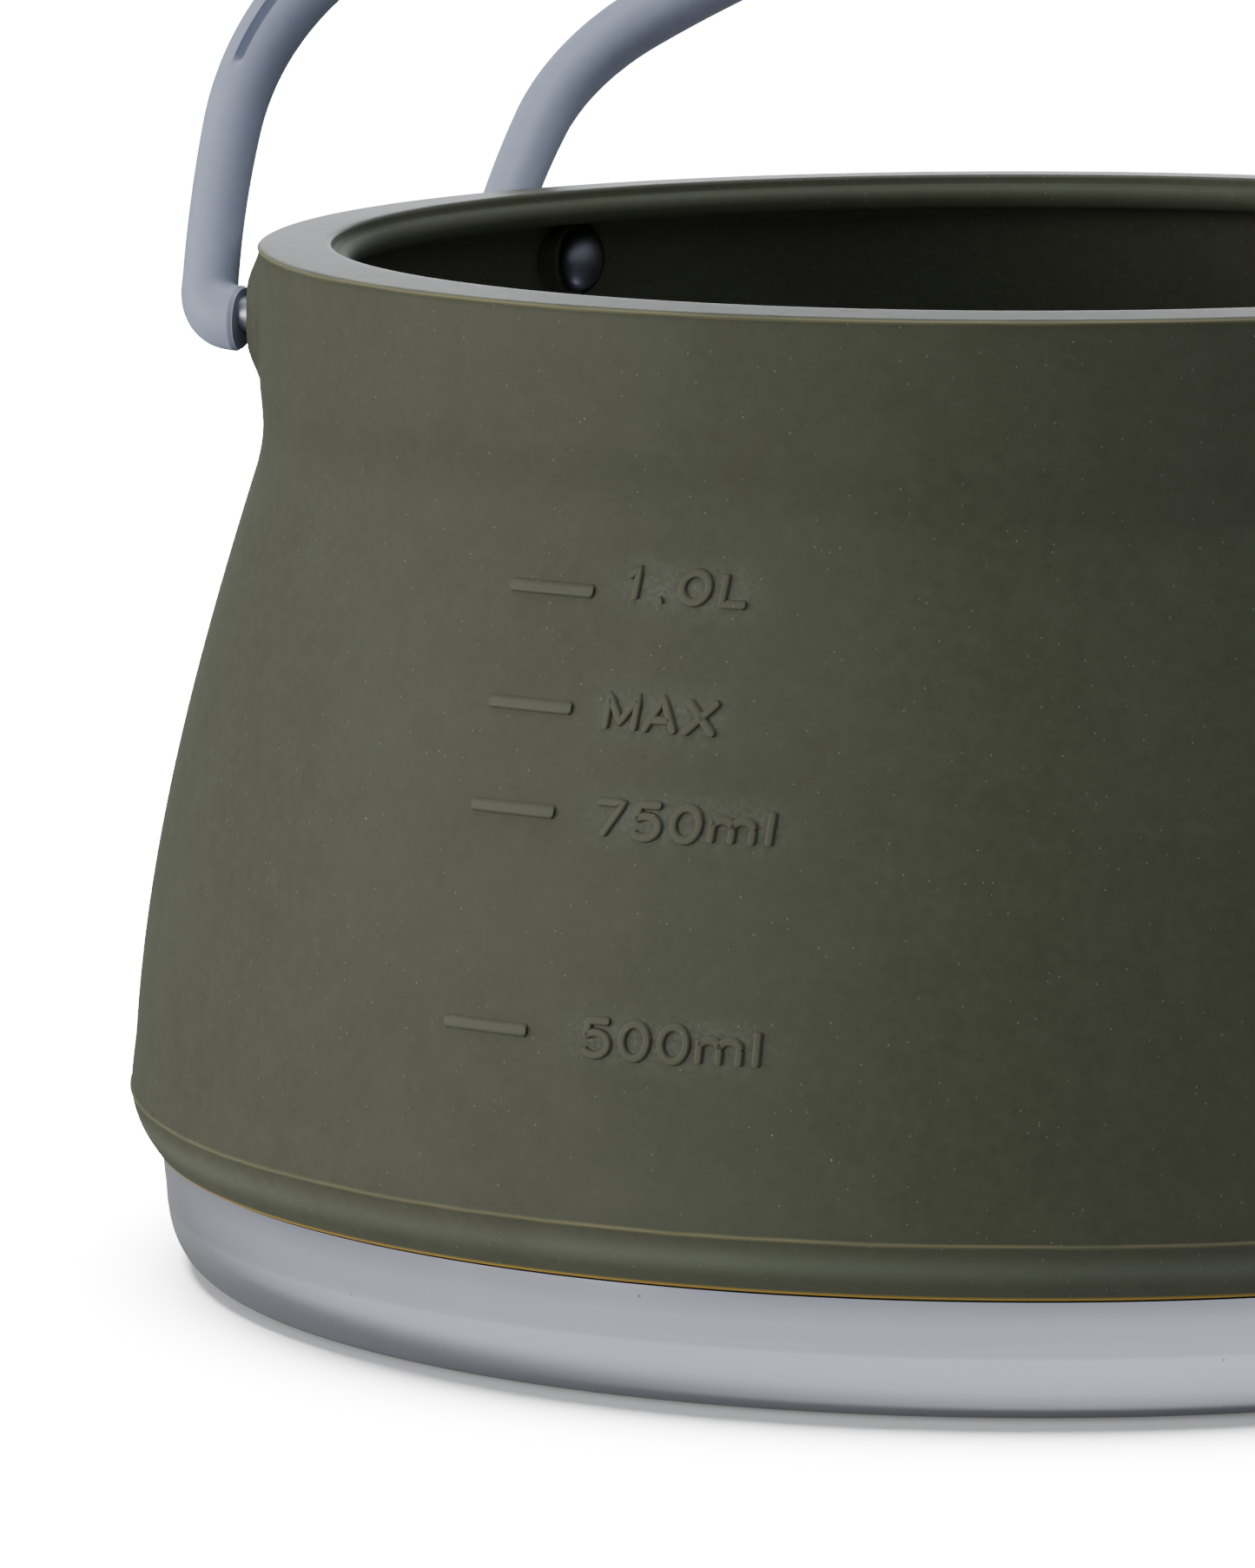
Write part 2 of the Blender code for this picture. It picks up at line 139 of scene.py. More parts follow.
class Signal:
    """A node socket that can be used in arithmetic."""

    def __init__(self, graph: Graph, socket: Socket) -> None:
        """Keep the socket and the graph that its new nodes go to."""
        self.graph = graph
        self.socket = socket

    __add__ = __radd__ = operator("ADD")
    __sub__ = operator("SUBTRACT")
    __rsub__ = operator("SUBTRACT", backward=True)
    __mul__ = __rmul__ = operator("MULTIPLY")
    __truediv__ = operator("DIVIDE")
    __abs__ = operator("ABSOLUTE")
    __pow__ = operator("POWER")
    least = operator("MINIMUM")
    most = operator("MAXIMUM")
    sine = operator("SINE")
    cosine = operator("COSINE")
    root = operator("SQRT")
    angle_above = operator("ARCTAN2")

    def output(self, key: int | str) -> Signal:
        """Another output of the same node."""
        return Signal(self.graph, self.socket.node.outputs[key])

    def eased(self, low: Value, high: Value) -> Signal:
        """Ease from 0 at low to 1 at high; if high is below low, the ramp falls instead."""
        t = ((self - low) / (high - low)).most(0.0).least(1.0)
        return t * t * (3.0 - 2.0 * t)

    def band(self, centre: Number, half_width: Number) -> Signal:
        """A soft band that is 1 at the centre and 0 from half_width away."""
        return abs(self - centre).eased(half_width, 0.0)


Value = Signal | Number


class Graph:
    """Builds one node tree, for a material or for a mesh."""

    def __init__(self, tree: Tree) -> None:
        """Work on this tree."""
        self.tree = tree

    def node(self, kind: str, settings: dict[str, object] | None = None,
             values: dict[int | str, object] | None = None, output: int | str = 0) -> Signal:
        """Add any node.

        Args:
            kind: The node's type name.
            settings: Attributes that are set first; "capture" holds the type and name of a
                captured attribute.
            values: Socket name or number to a number, a colour or a Signal.
            output: The output that the result stands for.

        Returns:
            The chosen output.
        """
        made = self.tree.nodes.new(kind)
        for name, value in (settings or {}).items():
            if name == "capture":
                made.capture_items.new(*value)
            else:
                setattr(made, name, value)
        for key, value in (values or {}).items():
            self.feed(made.inputs[key], value)
        return Signal(self, made.outputs[output])

    def feed(self, target: Socket, value: object) -> None:
        """Link or set one input."""
        if isinstance(value, Signal):
            self.tree.links.new(value.socket, target)
        elif target.type == "RGBA":
            target.default_value = (*value, 1.0)
        else:
            target.default_value = value

    def vector(self, operation: str, *operands: Signal, output: int | str = 0) -> Signal:
        """Add a Vector Math node and return its result."""
        return self.node("ShaderNodeVectorMath", {"operation": operation},
                         dict(enumerate(operands)), output)

    def split(self, vector: Signal) -> tuple[Signal, Signal, Signal]:
        """The three parts of a vector."""
        first = self.node("ShaderNodeSeparateXYZ", None, {0: vector})
        return tuple(first.output(i) for i in range(3))

    def join(self, x: Value, y: Value, z: Value) -> Signal:
        """A vector from three parts."""
        return self.node("ShaderNodeCombineXYZ", None, {0: x, 1: y, 2: z})

    def blend_colour(self, factor: Value, first: Signal | Colour,
                     second: Signal | Colour) -> Signal:
        """Mix two colours: the first where the factor is 0, the second where it is 1."""
        return self.node("ShaderNodeMix", {"data_type": "RGBA"}, {0: factor, 6: first, 7: second}, 2)

    def noise(self, place: Signal, scale: float, detail: float = 2.0, rough: float = 0.5,
              output: int | str = 0) -> Signal:
        """Smooth noise between 0 and 1."""
        return self.node("ShaderNodeTexNoise", None, {
            "Vector": place, "Scale": scale, "Detail": detail, "Roughness": rough}, output)

    def specks(self, place: Signal, scale: float, radius: float, share: float) -> Signal:
        """Small round specks scattered over a share of the cells.

        Args:
            place: Coordinates.
            scale: Cells per metre.
            radius: Speck radius as a share of a cell.
            share: Share of the cells that hold a speck.

        Returns:
            A mask, 1 in a speck.
        """
        cell = self.node("ShaderNodeTexVoronoi", None, {"Vector": place, "Scale": scale})
        pick = self.node("ShaderNodeSeparateColor", None, {0: cell.output("Color")})
        inside = cell.output("Distance").eased(radius, radius * 0.4)
        return inside * pick.eased(1.0 - share, 1.0 - share * 0.5)

    def bump(self, height: Signal, strength: float, distance: float) -> Signal:
        """A normal from a height field, with its distance in millimetres."""
        return self.node("ShaderNodeBump", None, {
            "Strength": strength, "Distance": distance * MM, "Height": height})


@dataclass(frozen=True)
class SiliconeFinish:
    """Matte silicone rubber with a fine grain and a little dust."""

    name: str
    colour: Colour
    worn: Colour
    roughness: float
    specular: float
    dust: float
    grain: float
    flash_heights: tuple[float, ...] = ()
    edge_height: float = 0.0
    sheen_height: float = 0.0
    polished_height: float = 0.0
    frosted: tuple[tuple[float, float, float], ...] = ()

    def material(self, follows_rest: bool) -> Material:
        """Build the material.

        Args:
            follows_rest: True where the piece stores its rest position, so that patterns read it;
                otherwise they read Object coordinates.

        Returns:
            The finished material.
        """
        material, graph, shader = new_material(self.name)
        place = (graph.node("ShaderNodeAttribute", {"attribute_name": REST_PLACE}, output="Vector")
                 if follows_rest else graph.node("ShaderNodeTexCoord", output="Object"))
        cloud = graph.noise(place, 45.0, 3.0)
        blotch = graph.noise(place, 230.0, 3.0, 0.65)
        mottle = graph.noise(place, 900.0, 3.0, 0.6)
        fine = graph.noise(place, 5200.0, 2.0, 0.6)
        skin = graph.blend_colour(cloud.eased(0.35, 0.7) * 0.25 + 0.1, self.colour, self.worn)
        wear = (mottle - 0.5) * 1.1 + (blotch - 0.5) * 0.6 + 0.25
        skin = graph.blend_colour(wear, skin, self.worn)
        pores = graph.specks(place, 700.0, 0.12, 0.22) * 0.35
        skin = graph.blend_colour(pores, skin, tuple(0.45 * c for c in self.colour))
        dust = (graph.specks(place, 1500.0, 0.15, 0.30) * 0.6
                + graph.specks(place, 420.0, 0.05, 0.08) + self._fibres(graph, place)).least(1.0)
        skin = graph.blend_colour(dust * self.dust, skin, DUST)
        graph.feed(shader["Base Color"], self._lines(graph, place, cloud, skin))
        roughness = mottle * 0.10 + fine * 0.05 + dust * 0.1 + (self.roughness - 0.08)
        if self.polished_height:
            height = graph.split(place)[2]
            top = self.polished_height * MM
            roughness = roughness - height.eased(top - 0.2 * MM, top) * 0.20
        graph.feed(shader["Roughness"], roughness)
        relief = fine * 0.5 + mottle * 0.6 + dust * 0.5
        graph.feed(shader["Normal"], graph.bump(relief, self.grain, 0.03))
        shader["Specular IOR Level"].default_value = self.specular
        return material

    def _lines(self, graph: Graph, place: Signal, cloud: Signal, colour: Signal) -> Signal:
        """Colour the parting lines, the trimmed lower edge, the painted highlight band on the cuff
        and the frosted patches.

        Args:
            graph: The material's graph.
            place: Place at rest, in metres.
            cloud: A broad noise that makes the lines waver.
            colour: Colour of the plain skin.

        Returns:
            The colour with the lines over it.
        """
        x, y, height = graph.split(place)
        outside = ((x * x + y * y).root()).eased(63.6 * MM, 64.2 * MM)
        waver = (graph.noise(place, 120.0) - 0.5) * (0.25 * MM)
        for line in self.flash_heights:
            flash = (height + waver).band(line * MM, 0.26 * MM) * (cloud * 0.6 + 0.15) * outside
            colour = graph.blend_colour(flash, colour, PARTING_FLASH)
        if self.edge_height:
            edge = height.band(self.edge_height * MM, 0.36 * MM) * outside
            colour = graph.blend_colour(edge.least(0.8) * 1.25, colour, TRIMMED_EDGE)
        if self.sheen_height:
            # Painted highlight: a lighter, bluer band round the cuff, where its face turns upright
            # toward the lamps.
            painted_sheen = height.band(self.sheen_height * MM, 1.6 * MM) * (cloud * 0.5 + 0.1)
            colour = graph.blend_colour(painted_sheen, colour, CUFF_SHEEN)
        if self.frosted:
            grit = graph.noise(place, 2600.0, 2.0, 0.7)
            frost = self._patches(y.angle_above(x), height) * (grit.eased(0.35, 0.75) * 0.22 + 0.05)
            colour = graph.blend_colour(frost, colour, FROST)
        return colour

    def _patches(self, angle: Signal, height: Signal) -> Signal:
        """Soft patches round the marks: one for each height, start angle and end angle."""
        total = None
        for level, start, end in self.frosted:
            middle, half = math.radians((start + end) / 2), math.radians((end - start) / 2 + 2.5)
            patch = height.band(level * MM, 3.4 * MM) * angle.band(middle, half).least(0.5) * 2.0
            total = patch if total is None else total.most(patch)
        return total

    @staticmethod
    def _fibres(graph: Graph, place: Signal) -> Signal:
        """Short pale threads of lint, from thin level lines of a warped noise."""
        warped = graph.vector("ADD", place, graph.noise(place, 160.0, output="Color"))
        line = graph.noise(warped, 260.0, 1.0)
        return line.band(0.5, 0.006) * graph.noise(place, 420.0, 1.0).eased(0.64, 0.70)


@dataclass(frozen=True)
class SteelFinish:
    """Stainless steel with fine marks that run round or along the piece."""

    name: str
    colour: Colour
    roughness: float
    grain: float
    turned: bool

    def material(self) -> Material:
        """Build the material and return it."""
        material, graph, shader = new_material(self.name)
        place = graph.node("ShaderNodeTexCoord", output="Object")
        x, y, z = graph.split(place)
        marks = (graph.join(y.angle_above(x) * 0.0016, (x * x + y * y).root(), z)
                 if self.turned else place)
        streaks = graph.noise(marks, 3200.0, 4.0, 0.6)
        broad = graph.noise(marks, 700.0).eased(0.3, 0.7)
        smudge = graph.noise(place, 70.0, 3.0)
        dark = tuple(0.82 * c for c in self.colour)
        tone = graph.blend_colour(broad * 0.22 + smudge * 0.2, self.colour, dark)
        if self.turned:
            # Painted reflection: below 5.7 mm the rounded foot is lighter and warmer, standing in for
            # the bright floor it mirrors.
            foot = tuple(share * c for share, c in zip((1.19, 1.17, 1.13), self.colour))
            tone = graph.blend_colour(z.eased(5.7 * MM, 5.3 * MM), tone, foot)
        pits = graph.specks(place, 260.0, 0.05, 0.12) + graph.specks(place, 640.0, 0.09, 0.10)
        graph.feed(shader["Base Color"], graph.blend_colour(pits.least(1.0) * 0.7, tone, GRIME))
        rubbed = smudge.eased(0.4, 0.75) * 0.05
        graph.feed(shader["Roughness"], streaks * 0.07 + rubbed + (self.roughness - 0.05))
        graph.feed(shader["Normal"], graph.bump(streaks, self.grain, 0.01))
        shader["Metallic"].default_value = 1.0
        return material


def new_material(name: str) -> tuple[Material, Graph, bpy.types.NodeInputs]:
    """Start a material; gives it with its graph and the inputs of its shader."""
    material = bpy.data.materials.new(name)
    material.use_nodes = True
    tree = material.node_tree
    return material, Graph(tree), tree.nodes["Principled BSDF"].inputs


def ease(value: np.ndarray | float, low: float, high: float) -> np.ndarray | float:
    """Ease from 0 at low to 1 at high, on numbers or arrays."""
    t = np.clip((value - low) / (high - low), 0.0, 1.0)
    return t * t * (3.0 - 2.0 * t)


def hermite(t: Value, first: float, first_rise: float, last: float, last_rise: float) -> Value:
    """A cubic between two values and rates of change, at a share of the way."""
    square = t * t
    cube = square * t
    return ((2.0 * cube - 3.0 * square + 1.0) * first + (cube - 2.0 * square + t) * first_rise
            + (3.0 * square - 2.0 * cube) * last + (cube - square) * last_rise)


def curve_between(z0: float, r0: float, slope0: float, z1: float, r1: float, slope1: float,
                  steps: int) -> Path:
    """A profile between two heights, radii and slopes, without its last point."""
    rise = z1 - z0
    return [(hermite(i / steps, r0, rise * slope0, r1, rise * slope1), z0 + rise * i / steps)
            for i in range(steps)]


def turn_points(centre: tuple[float, float], radius: float, start: float, end: float,
                steps: int) -> Path:
    """Points on an arc in the (radius, height) plane, angles in degrees, both ends included."""
    turns = [math.radians(start + (end - start) * i / steps) for i in range(steps + 1)]
    return [(centre[0] + radius * math.cos(turn), centre[1] + radius * math.sin(turn))
            for turn in turns]


def linked(item: Item) -> Item:
    """Put an object into the scene."""
    bpy.context.collection.objects.link(item)
    return item


def settle(mesh: Mesh, sources: Sequence[Mesh], weld: float = WELD) -> None:
    """Fill a mesh from others, welded and smooth, with its normals outward."""
    made = bmesh.new()
    for source in sources:
        made.from_mesh(source)
    bmesh.ops.remove_doubles(made, verts=made.verts, dist=weld)
    bmesh.ops.recalc_face_normals(made, faces=made.faces)
    made.to_mesh(mesh)
    made.free()
    mesh.shade_smooth()


def mesh_object(name: str, vertices: Sequence[Point], faces: Iterable[Sequence[int]]) -> Item:
    """Make a smooth, outward-facing object from points in millimetres."""
    mesh = bpy.data.meshes.new(name)
    mesh.from_pydata((np.asarray(vertices) * MM).tolist(), [], list(faces))
    settle(mesh, [mesh], 0.0005 * MM)
    return linked(bpy.data.objects.new(name, mesh))


def grid_faces(rows: int, columns: int, closed: bool) -> list[tuple[int, int, int, int]]:
    """Faces of a grid whose columns wrap round, and whose rows do if closed."""
    faces = []
    for row in range(rows if closed else rows - 1):
        here, after = row * columns, (row + 1) % rows * columns
        for column in range(columns):
            beside = (column + 1) % columns
            faces.append((here + column, here + beside, after + beside, after + column))
    return faces


def hinge_rings(stations: Path, end: float, y: float, z: float, sides: int) -> list[Point]:
    """Rings of points about a line along X, from (distance, radius) pairs.

    Args:
        stations: Distance from the middle and radius of each ring, in millimetres.
        end: Sign of X at the line's end.
        y: The line's Y.
        z: The line's height.
        sides: Points in each ring.

    Returns:
        The points, ring after ring.
    """
    turns = [2 * math.pi * i / sides for i in range(sides)]
    return [(end * distance, y + radius * math.cos(turn), z + radius * math.sin(turn))
            for distance, radius in stations for turn in turns]


def lathe(name: str, profile: Path, segments: int) -> Item:
    """Turn a profile of points (radius, height) about Z, in so many parts."""
    angles = np.arange(segments) * 2 * math.pi / segments
    ring = np.stack([np.cos(angles), np.sin(angles)], -1)
    vertices = np.concatenate([np.column_stack([ring * radius, np.full(segments, height)])
                               for radius, height in profile])
    return mesh_object(name, vertices, grid_faces(len(profile), segments, closed=False))


def curve_object(name: str, strands: Iterable[Path], half_width: float = 1.0,
                 end_share: float = 1.0) -> Item:
    """Draw strands in the XZ plane, as one curve object in millimetres.

    Args:
        name: The object's name.
        strands: Paths of (x, z) points; one that ends where it starts is closed.
        half_width: Radius of the strands' points.
        end_share: Share of it that an open strand's end points have.

    Returns:
        The curve object.
    """
    data = bpy.data.curves.new(name, "CURVE")
    data.dimensions = "3D"
    for strand in strands:
        ring = math.dist(strand[0], strand[-1]) < 1e-6
        points = strand[:-1] if ring else strand
        spline = data.splines.new("POLY")
        spline.use_cyclic_u = ring
        last = len(points) - 1
        spline.points.add(last)
        for i, (x, z) in enumerate(points):
            spline.points[i].co = (x, 0.0, z, 1.0)
            at_end = not ring and i in (0, last)
            spline.points[i].radius = half_width * (end_share if at_end else 1.0)
    return linked(bpy.data.objects.new(name, data))


@dataclass
class Spout:
    """The pouring beak, as an outward push of the collar's wall."""

    tip_radius: float = 81.6
    slope: float = 0.66
    blunt: float = 0.05
    root_height: float = 73.4
    full_height: float = 86.0
    lift_height: float = 80.0
    rise: float = 1.6
    wall: float = 1.9
    fullness: float = 0.78

    def reach(self, angle: np.ndarray, wall_radius: float) -> np.ndarray:
        """How far the beak stands out of a round wall at each angle from +X, in radians."""
        wrapped = (angle + math.pi) % (2 * math.pi) - math.pi
        near = np.abs(wrapped) < math.radians(40)
        wrapped = np.where(near, wrapped, 0.7)
        along = self.tip_radius * (self.blunt + self.slope) / (
            np.sqrt(np.tan(wrapped) ** 2 + self.blunt**2) + self.slope)
        push = along / np.cos(wrapped) - wall_radius
        soft = 0.5 * (push + np.sqrt(push**2 + 0.7)) - 0.03
        return np.where(near & (push > -5.0), np.maximum(soft, 0.0), 0.0)

    def share(self, height: float, low: float) -> float:
        """Share of the push at a height, from 0 at the keel's root to 1 at the rim."""
        return float(np.clip((height - low) / (self.full_height - low), 0.0, 1.0)) ** self.fullness


@dataclass
class KettleBody:
    """The one-piece silicone body: cuff, folding wall, collar with rim, bosses and spout."""

    lip_height: float = 10.35
    crest_height: float = 15.05
    crest_radius: float = 76.12
    shoulder_height: float = 20.0
    shoulder_radius: float = 75.62
    shoulder_slope: float = -0.070
    wall_top_height: float = 68.0
    wall_top_radius: float = 64.98
    wall_top_slope: float = -0.320
    neck_height: float = 71.6
    neck_radius: float = 64.42
    collar_height: float = 76.0
    collar_radius: float = 64.7
    rim_height: float = 87.0
    parting_height: float = 86.60
    inner_radius: float = 62.35
    boss_height: float = 80.4
    boss_y: float = 26.6
    boss_rise: float = 1.1
    boss_core: float = 2.4
    boss_reach: float = 6.2
    hole_radius: float = 1.72
    spot_face_x: float = 56.0
    boss_face_x: float = 60.25
    pad_root_radius: float = 63.4
    fold_start: float = 0.019
    fold_end: float = 0.069
    spout: Spout = field(default_factory=Spout)

    def wall_radius(self, height: Value) -> Value:
        """Outer radius of the folding wall at a height, as a number or a Signal."""
        rise = self.wall_top_height - self.shoulder_height
        return hermite((height - self.shoulder_height) / rise,
                       self.shoulder_radius, rise * self.shoulder_slope,
                       self.wall_top_radius, rise * self.wall_top_slope)

    def outer_profile(self) -> Path:
        """The outside from the lower lip to the parting line under the rim."""
        crest, radius = self.crest_height, self.crest_radius
        lip = [(73.62, 10.9), (73.66, 10.55), (73.80, 10.38), (74.0, self.lip_height), (74.16, 10.45)]
        bulge = curve_between(10.62, 74.26, 0.80, crest - 0.12, radius, 0.08, 9)
        flash = [(radius, crest - 0.12), (radius + 0.12, crest - 0.02),
                 (radius + 0.12, crest + 0.04), (radius - 0.01, crest + 0.14)]
        low = (self.shoulder_height, self.shoulder_radius, self.shoulder_slope)
        high = (self.wall_top_height, self.wall_top_radius)
        waist = (self.neck_height, self.neck_radius, 0.0)
        root = (self.collar_height, self.collar_radius, 0.0)
        edge = (self.parting_height - 0.1, self.collar_radius, 0.0)
        shoulder = curve_between(crest + 0.3, radius - 0.02, -0.03, *low, 6)
        wall = curve_between(*low, *high, self.wall_top_slope, 44)
        neck = curve_between(*high, -0.270, *waist, 8) + curve_between(*waist, *root, 9)
        return lip + bulge + flash + shoulder + wall + neck + curve_between(*root, *edge, 24)

    def rim_profile(self) -> Path:
        """Parting line, bevel, flat top, lid step and the rounded lip round the mouth."""
        top, line, wall = self.rim_height, self.parting_height, self.collar_radius
        parting = [(wall + 0.01, line - 0.08), (wall + 0.09, line), (wall + 0.02, line + 0.08)]
        bevel = [(64.62, top - 0.27), (64.45, top - 0.20), (64.2, top - 0.165)]
        flat = [(radius, top - 0.034 * (radius - 59.2)) for radius in (63.8, 63.0, 62.0, 61.0, 60.0)]
        step = [(59.2, top), (58.78, top - 0.03), (58.62, top - 0.14), (58.55, top - 0.35),
                (58.50, top - 0.72), (58.38, top - 0.88)]
        lip = turn_points((58.02, top - 1.94), 1.02, 84.0, 268.0, 12)
        under = [(59.0, top - 2.98), (60.2, top - 3.05), (61.0, top - 3.2)]
        fillet = turn_points((61.35, top - 4.25), 1.0, 84.0, 4.0, 5)
        return parting + bevel + flat + step + lip + under + fillet

    def inner_profile(self) -> Path:
        """The inside, from under the flange down to the pan and back to the lower lip."""
        collar = [(self.inner_radius, height) for height in np.linspace(82.4, 74.0, 18)]
        neck = [(62.33, 73.0), (62.3, 72.0), (62.38, 71.0), (62.65, 69.6), (63.1, 68.2)]
        wall = []
        for height in np.linspace(67.2, 20.6, 22):
            thick = 1.15 + 0.75 * math.sin(math.pi * (height - 20) / 48) ** 0.5
            wall.append((self.wall_radius(height) - thick, height))
        cuff = [(74.3, 19.6), (73.6, 18.0), (72.6, 16.4), (72.05, 15.3), (72.02, 14.95)]
        groove = [(75.2, 14.95), (75.2, 13.6), (73.05, 13.6), (73.05, 11.3), (73.3, 11.1)]
        return collar + neck + wall + cuff + groove

    def boss_angles(self) -> np.ndarray:
        """Angles of the four pivot bosses round the axis, in radians."""
        boss = math.asin(self.boss_y / self.collar_radius)
        return np.array([boss, math.pi - boss, math.pi + boss, 2 * math.pi - boss])

    def angles(self) -> np.ndarray:
        """Angles round the axis, closer together at the spout and at the four bosses."""
        bosses = np.degrees(self.boss_angles())
        angles, here = [], 0.0
        while here < 359.8:
            angles.append(here)
            at_spout = min(here, 360.0 - here) < 21.0
            here += 0.5 if at_spout or np.min(np.abs(bosses - here)) < 7.5 else 1.25
        return np.radians(np.array(angles))

    def boss_push(self, angle: np.ndarray, height: float) -> np.ndarray:
        """Outward push of the four pivot bosses on the outer wall at a height."""
        push = np.zeros_like(angle)
        for boss in self.boss_angles():
            distance = np.hypot((angle - boss) * self.collar_radius, height - self.boss_height)
            push += self.boss_rise * (1.0 - ease(distance, self.boss_core, self.boss_reach))
        return push

    @staticmethod
    def crease_push(angle: np.ndarray, height: float) -> np.ndarray:
        """A faint old fold in the neck, strongest to the right of the fill marks."""
        away = (angle - math.radians(-45.0) + math.pi) % (2 * math.pi) - math.pi
        dent = math.exp(-(((height - 70.3) / 0.7) ** 2))
        swell = math.exp(-(((height - 71.9) / 0.9) ** 2))
        return np.exp(-(away**2) / 0.35) * (-0.09 * dent + 0.05 * swell)

    def skin(self) -> Item:
        """Build the closed skin with its bosses and spout, before holes are cut."""
        angle = self.angles()
        spout = self.spout
        reach = spout.reach(angle, self.collar_radius)
        open_lip = ease(reach, 0.15, 2.4)
        lift = spout.rise * np.clip(reach / 17.0, 0.0, 1.0) ** 2
        lip_radius = self.inner_radius + 0.15
        rows = []
        for radius, height in self.outer_profile():
            r = radius + reach * spout.share(height, spout.root_height)
            if height > 71.0:
                r = r + self.boss_push(angle, height)
            if 66.0 < height < 75.0:
                r = r + self.crease_push(angle, height)
            rows.append((r, height))
        for radius, height in self.rim_profile():
            narrowed = lip_radius + 0.02 * (radius - self.inner_radius)
            inward = open_lip if radius < lip_radius else 0.0
            share = spout.share(height, spout.root_height)
            rows.append((radius + inward * (narrowed - radius) + reach * share, height))
        for radius, height in self.inner_profile():
            share = spout.share(height, spout.root_height + spout.wall)
            rows.append((radius + reach * share, height))
        vertices = [
            np.column_stack([r * np.cos(angle), r * np.sin(angle),
                             height + lift * spout.share(height, spout.lift_height)])
            for r, height in rows
        ]
        faces = grid_faces(len(rows), len(angle), closed=True)
        return mesh_object("kettle_body", np.concatenate(vertices), faces)

    def pin_tools(self) -> tuple[Item, Item]:
        """Solids round the four pins: flat pads to add inside, then holes and spot faces to cut."""
        face, seat, hole = self.spot_face_x, self.boss_face_x, self.hole_radius
        pad = [(face - 0.5, 3.2), (face - 0.2, 3.3), (0.0, 3.3)]
        cut = [(45.0, 3.7), (face, 3.7), (face, hole), (seat, hole), (seat, 3.85), (seat + 0.2, 4.0),
               (70.0, 4.0)]
        return self._turned_about_pins("pad_tool", pad), self._turned_about_pins("hole_tool", cut)

    def _turned_about_pins(self, name: str, stations: Path, sides: int = 40) -> Item:
        """Four solids in one, turned about the hinge lines; points at X = 0 go to the wall."""
        vertices, faces = [], []
        ring = tuple(range(sides))
        last = (len(stations) - 1) * sides
        shape = grid_faces(len(stations), sides, closed=False)
        shape += [ring, tuple(last + i for i in ring)]
        for end, side in ((-1.0, -1.0), (-1.0, 1.0), (1.0, -1.0), (1.0, 1.0)):
            faces += [tuple(len(vertices) + k for k in face) for face in shape]
            for x, y, z in hinge_rings(stations, end, side * self.boss_y, self.boss_height, sides):
                vertices.append((x or end * math.sqrt(self.pad_root_radius**2 - y * y), y, z))
        return mesh_object(name, vertices, faces)

    def build(self, finish: SiliconeFinish) -> Item:
        """Make, cut and dress the body, with its rest place stored."""
        body = self.skin()
        pads, cuts = self.pin_tools()
        for tool, operation in ((pads, "UNION"), (cuts, "DIFFERENCE")):
            boolean = body.modifiers.new(tool.name, "BOOLEAN")
            boolean.operation = operation
            boolean.solver = "EXACT"
            boolean.object = tool
        mesh = evaluated_mesh(body)
        body.modifiers.clear()
        body.data = mesh
        for tool in (pads, cuts):
            bpy.data.objects.remove(tool, do_unlink=True)
        mesh.shade_smooth()
        mesh.set_sharp_from_angle(angle=math.radians(50.0))
        mesh.materials.clear()
        mesh.materials.append(finish.material(follows_rest=True))
        return self.bend(body)

    def bend(self, item: Item) -> Item:
        """Store a piece's rest place, so that its patterns stay where they are at rest, and bake its
        transform.
        """
        mesh = item.data
        places = np.zeros(len(mesh.vertices) * 3, np.float32)
        mesh.vertices.foreach_get("co", places)
        mesh.attributes.new(REST_PLACE, "FLOAT_VECTOR", "POINT").data.foreach_set("vector", places)
        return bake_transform(item)


@dataclass(frozen=True)
class Mark:
    """One level: its height on the wall, its label, and the label's size and place."""

    height: float
    label: str
    letter_height: float
    label_length: float
    label_rise: float = 0.0
    label_shift: float = 0.0


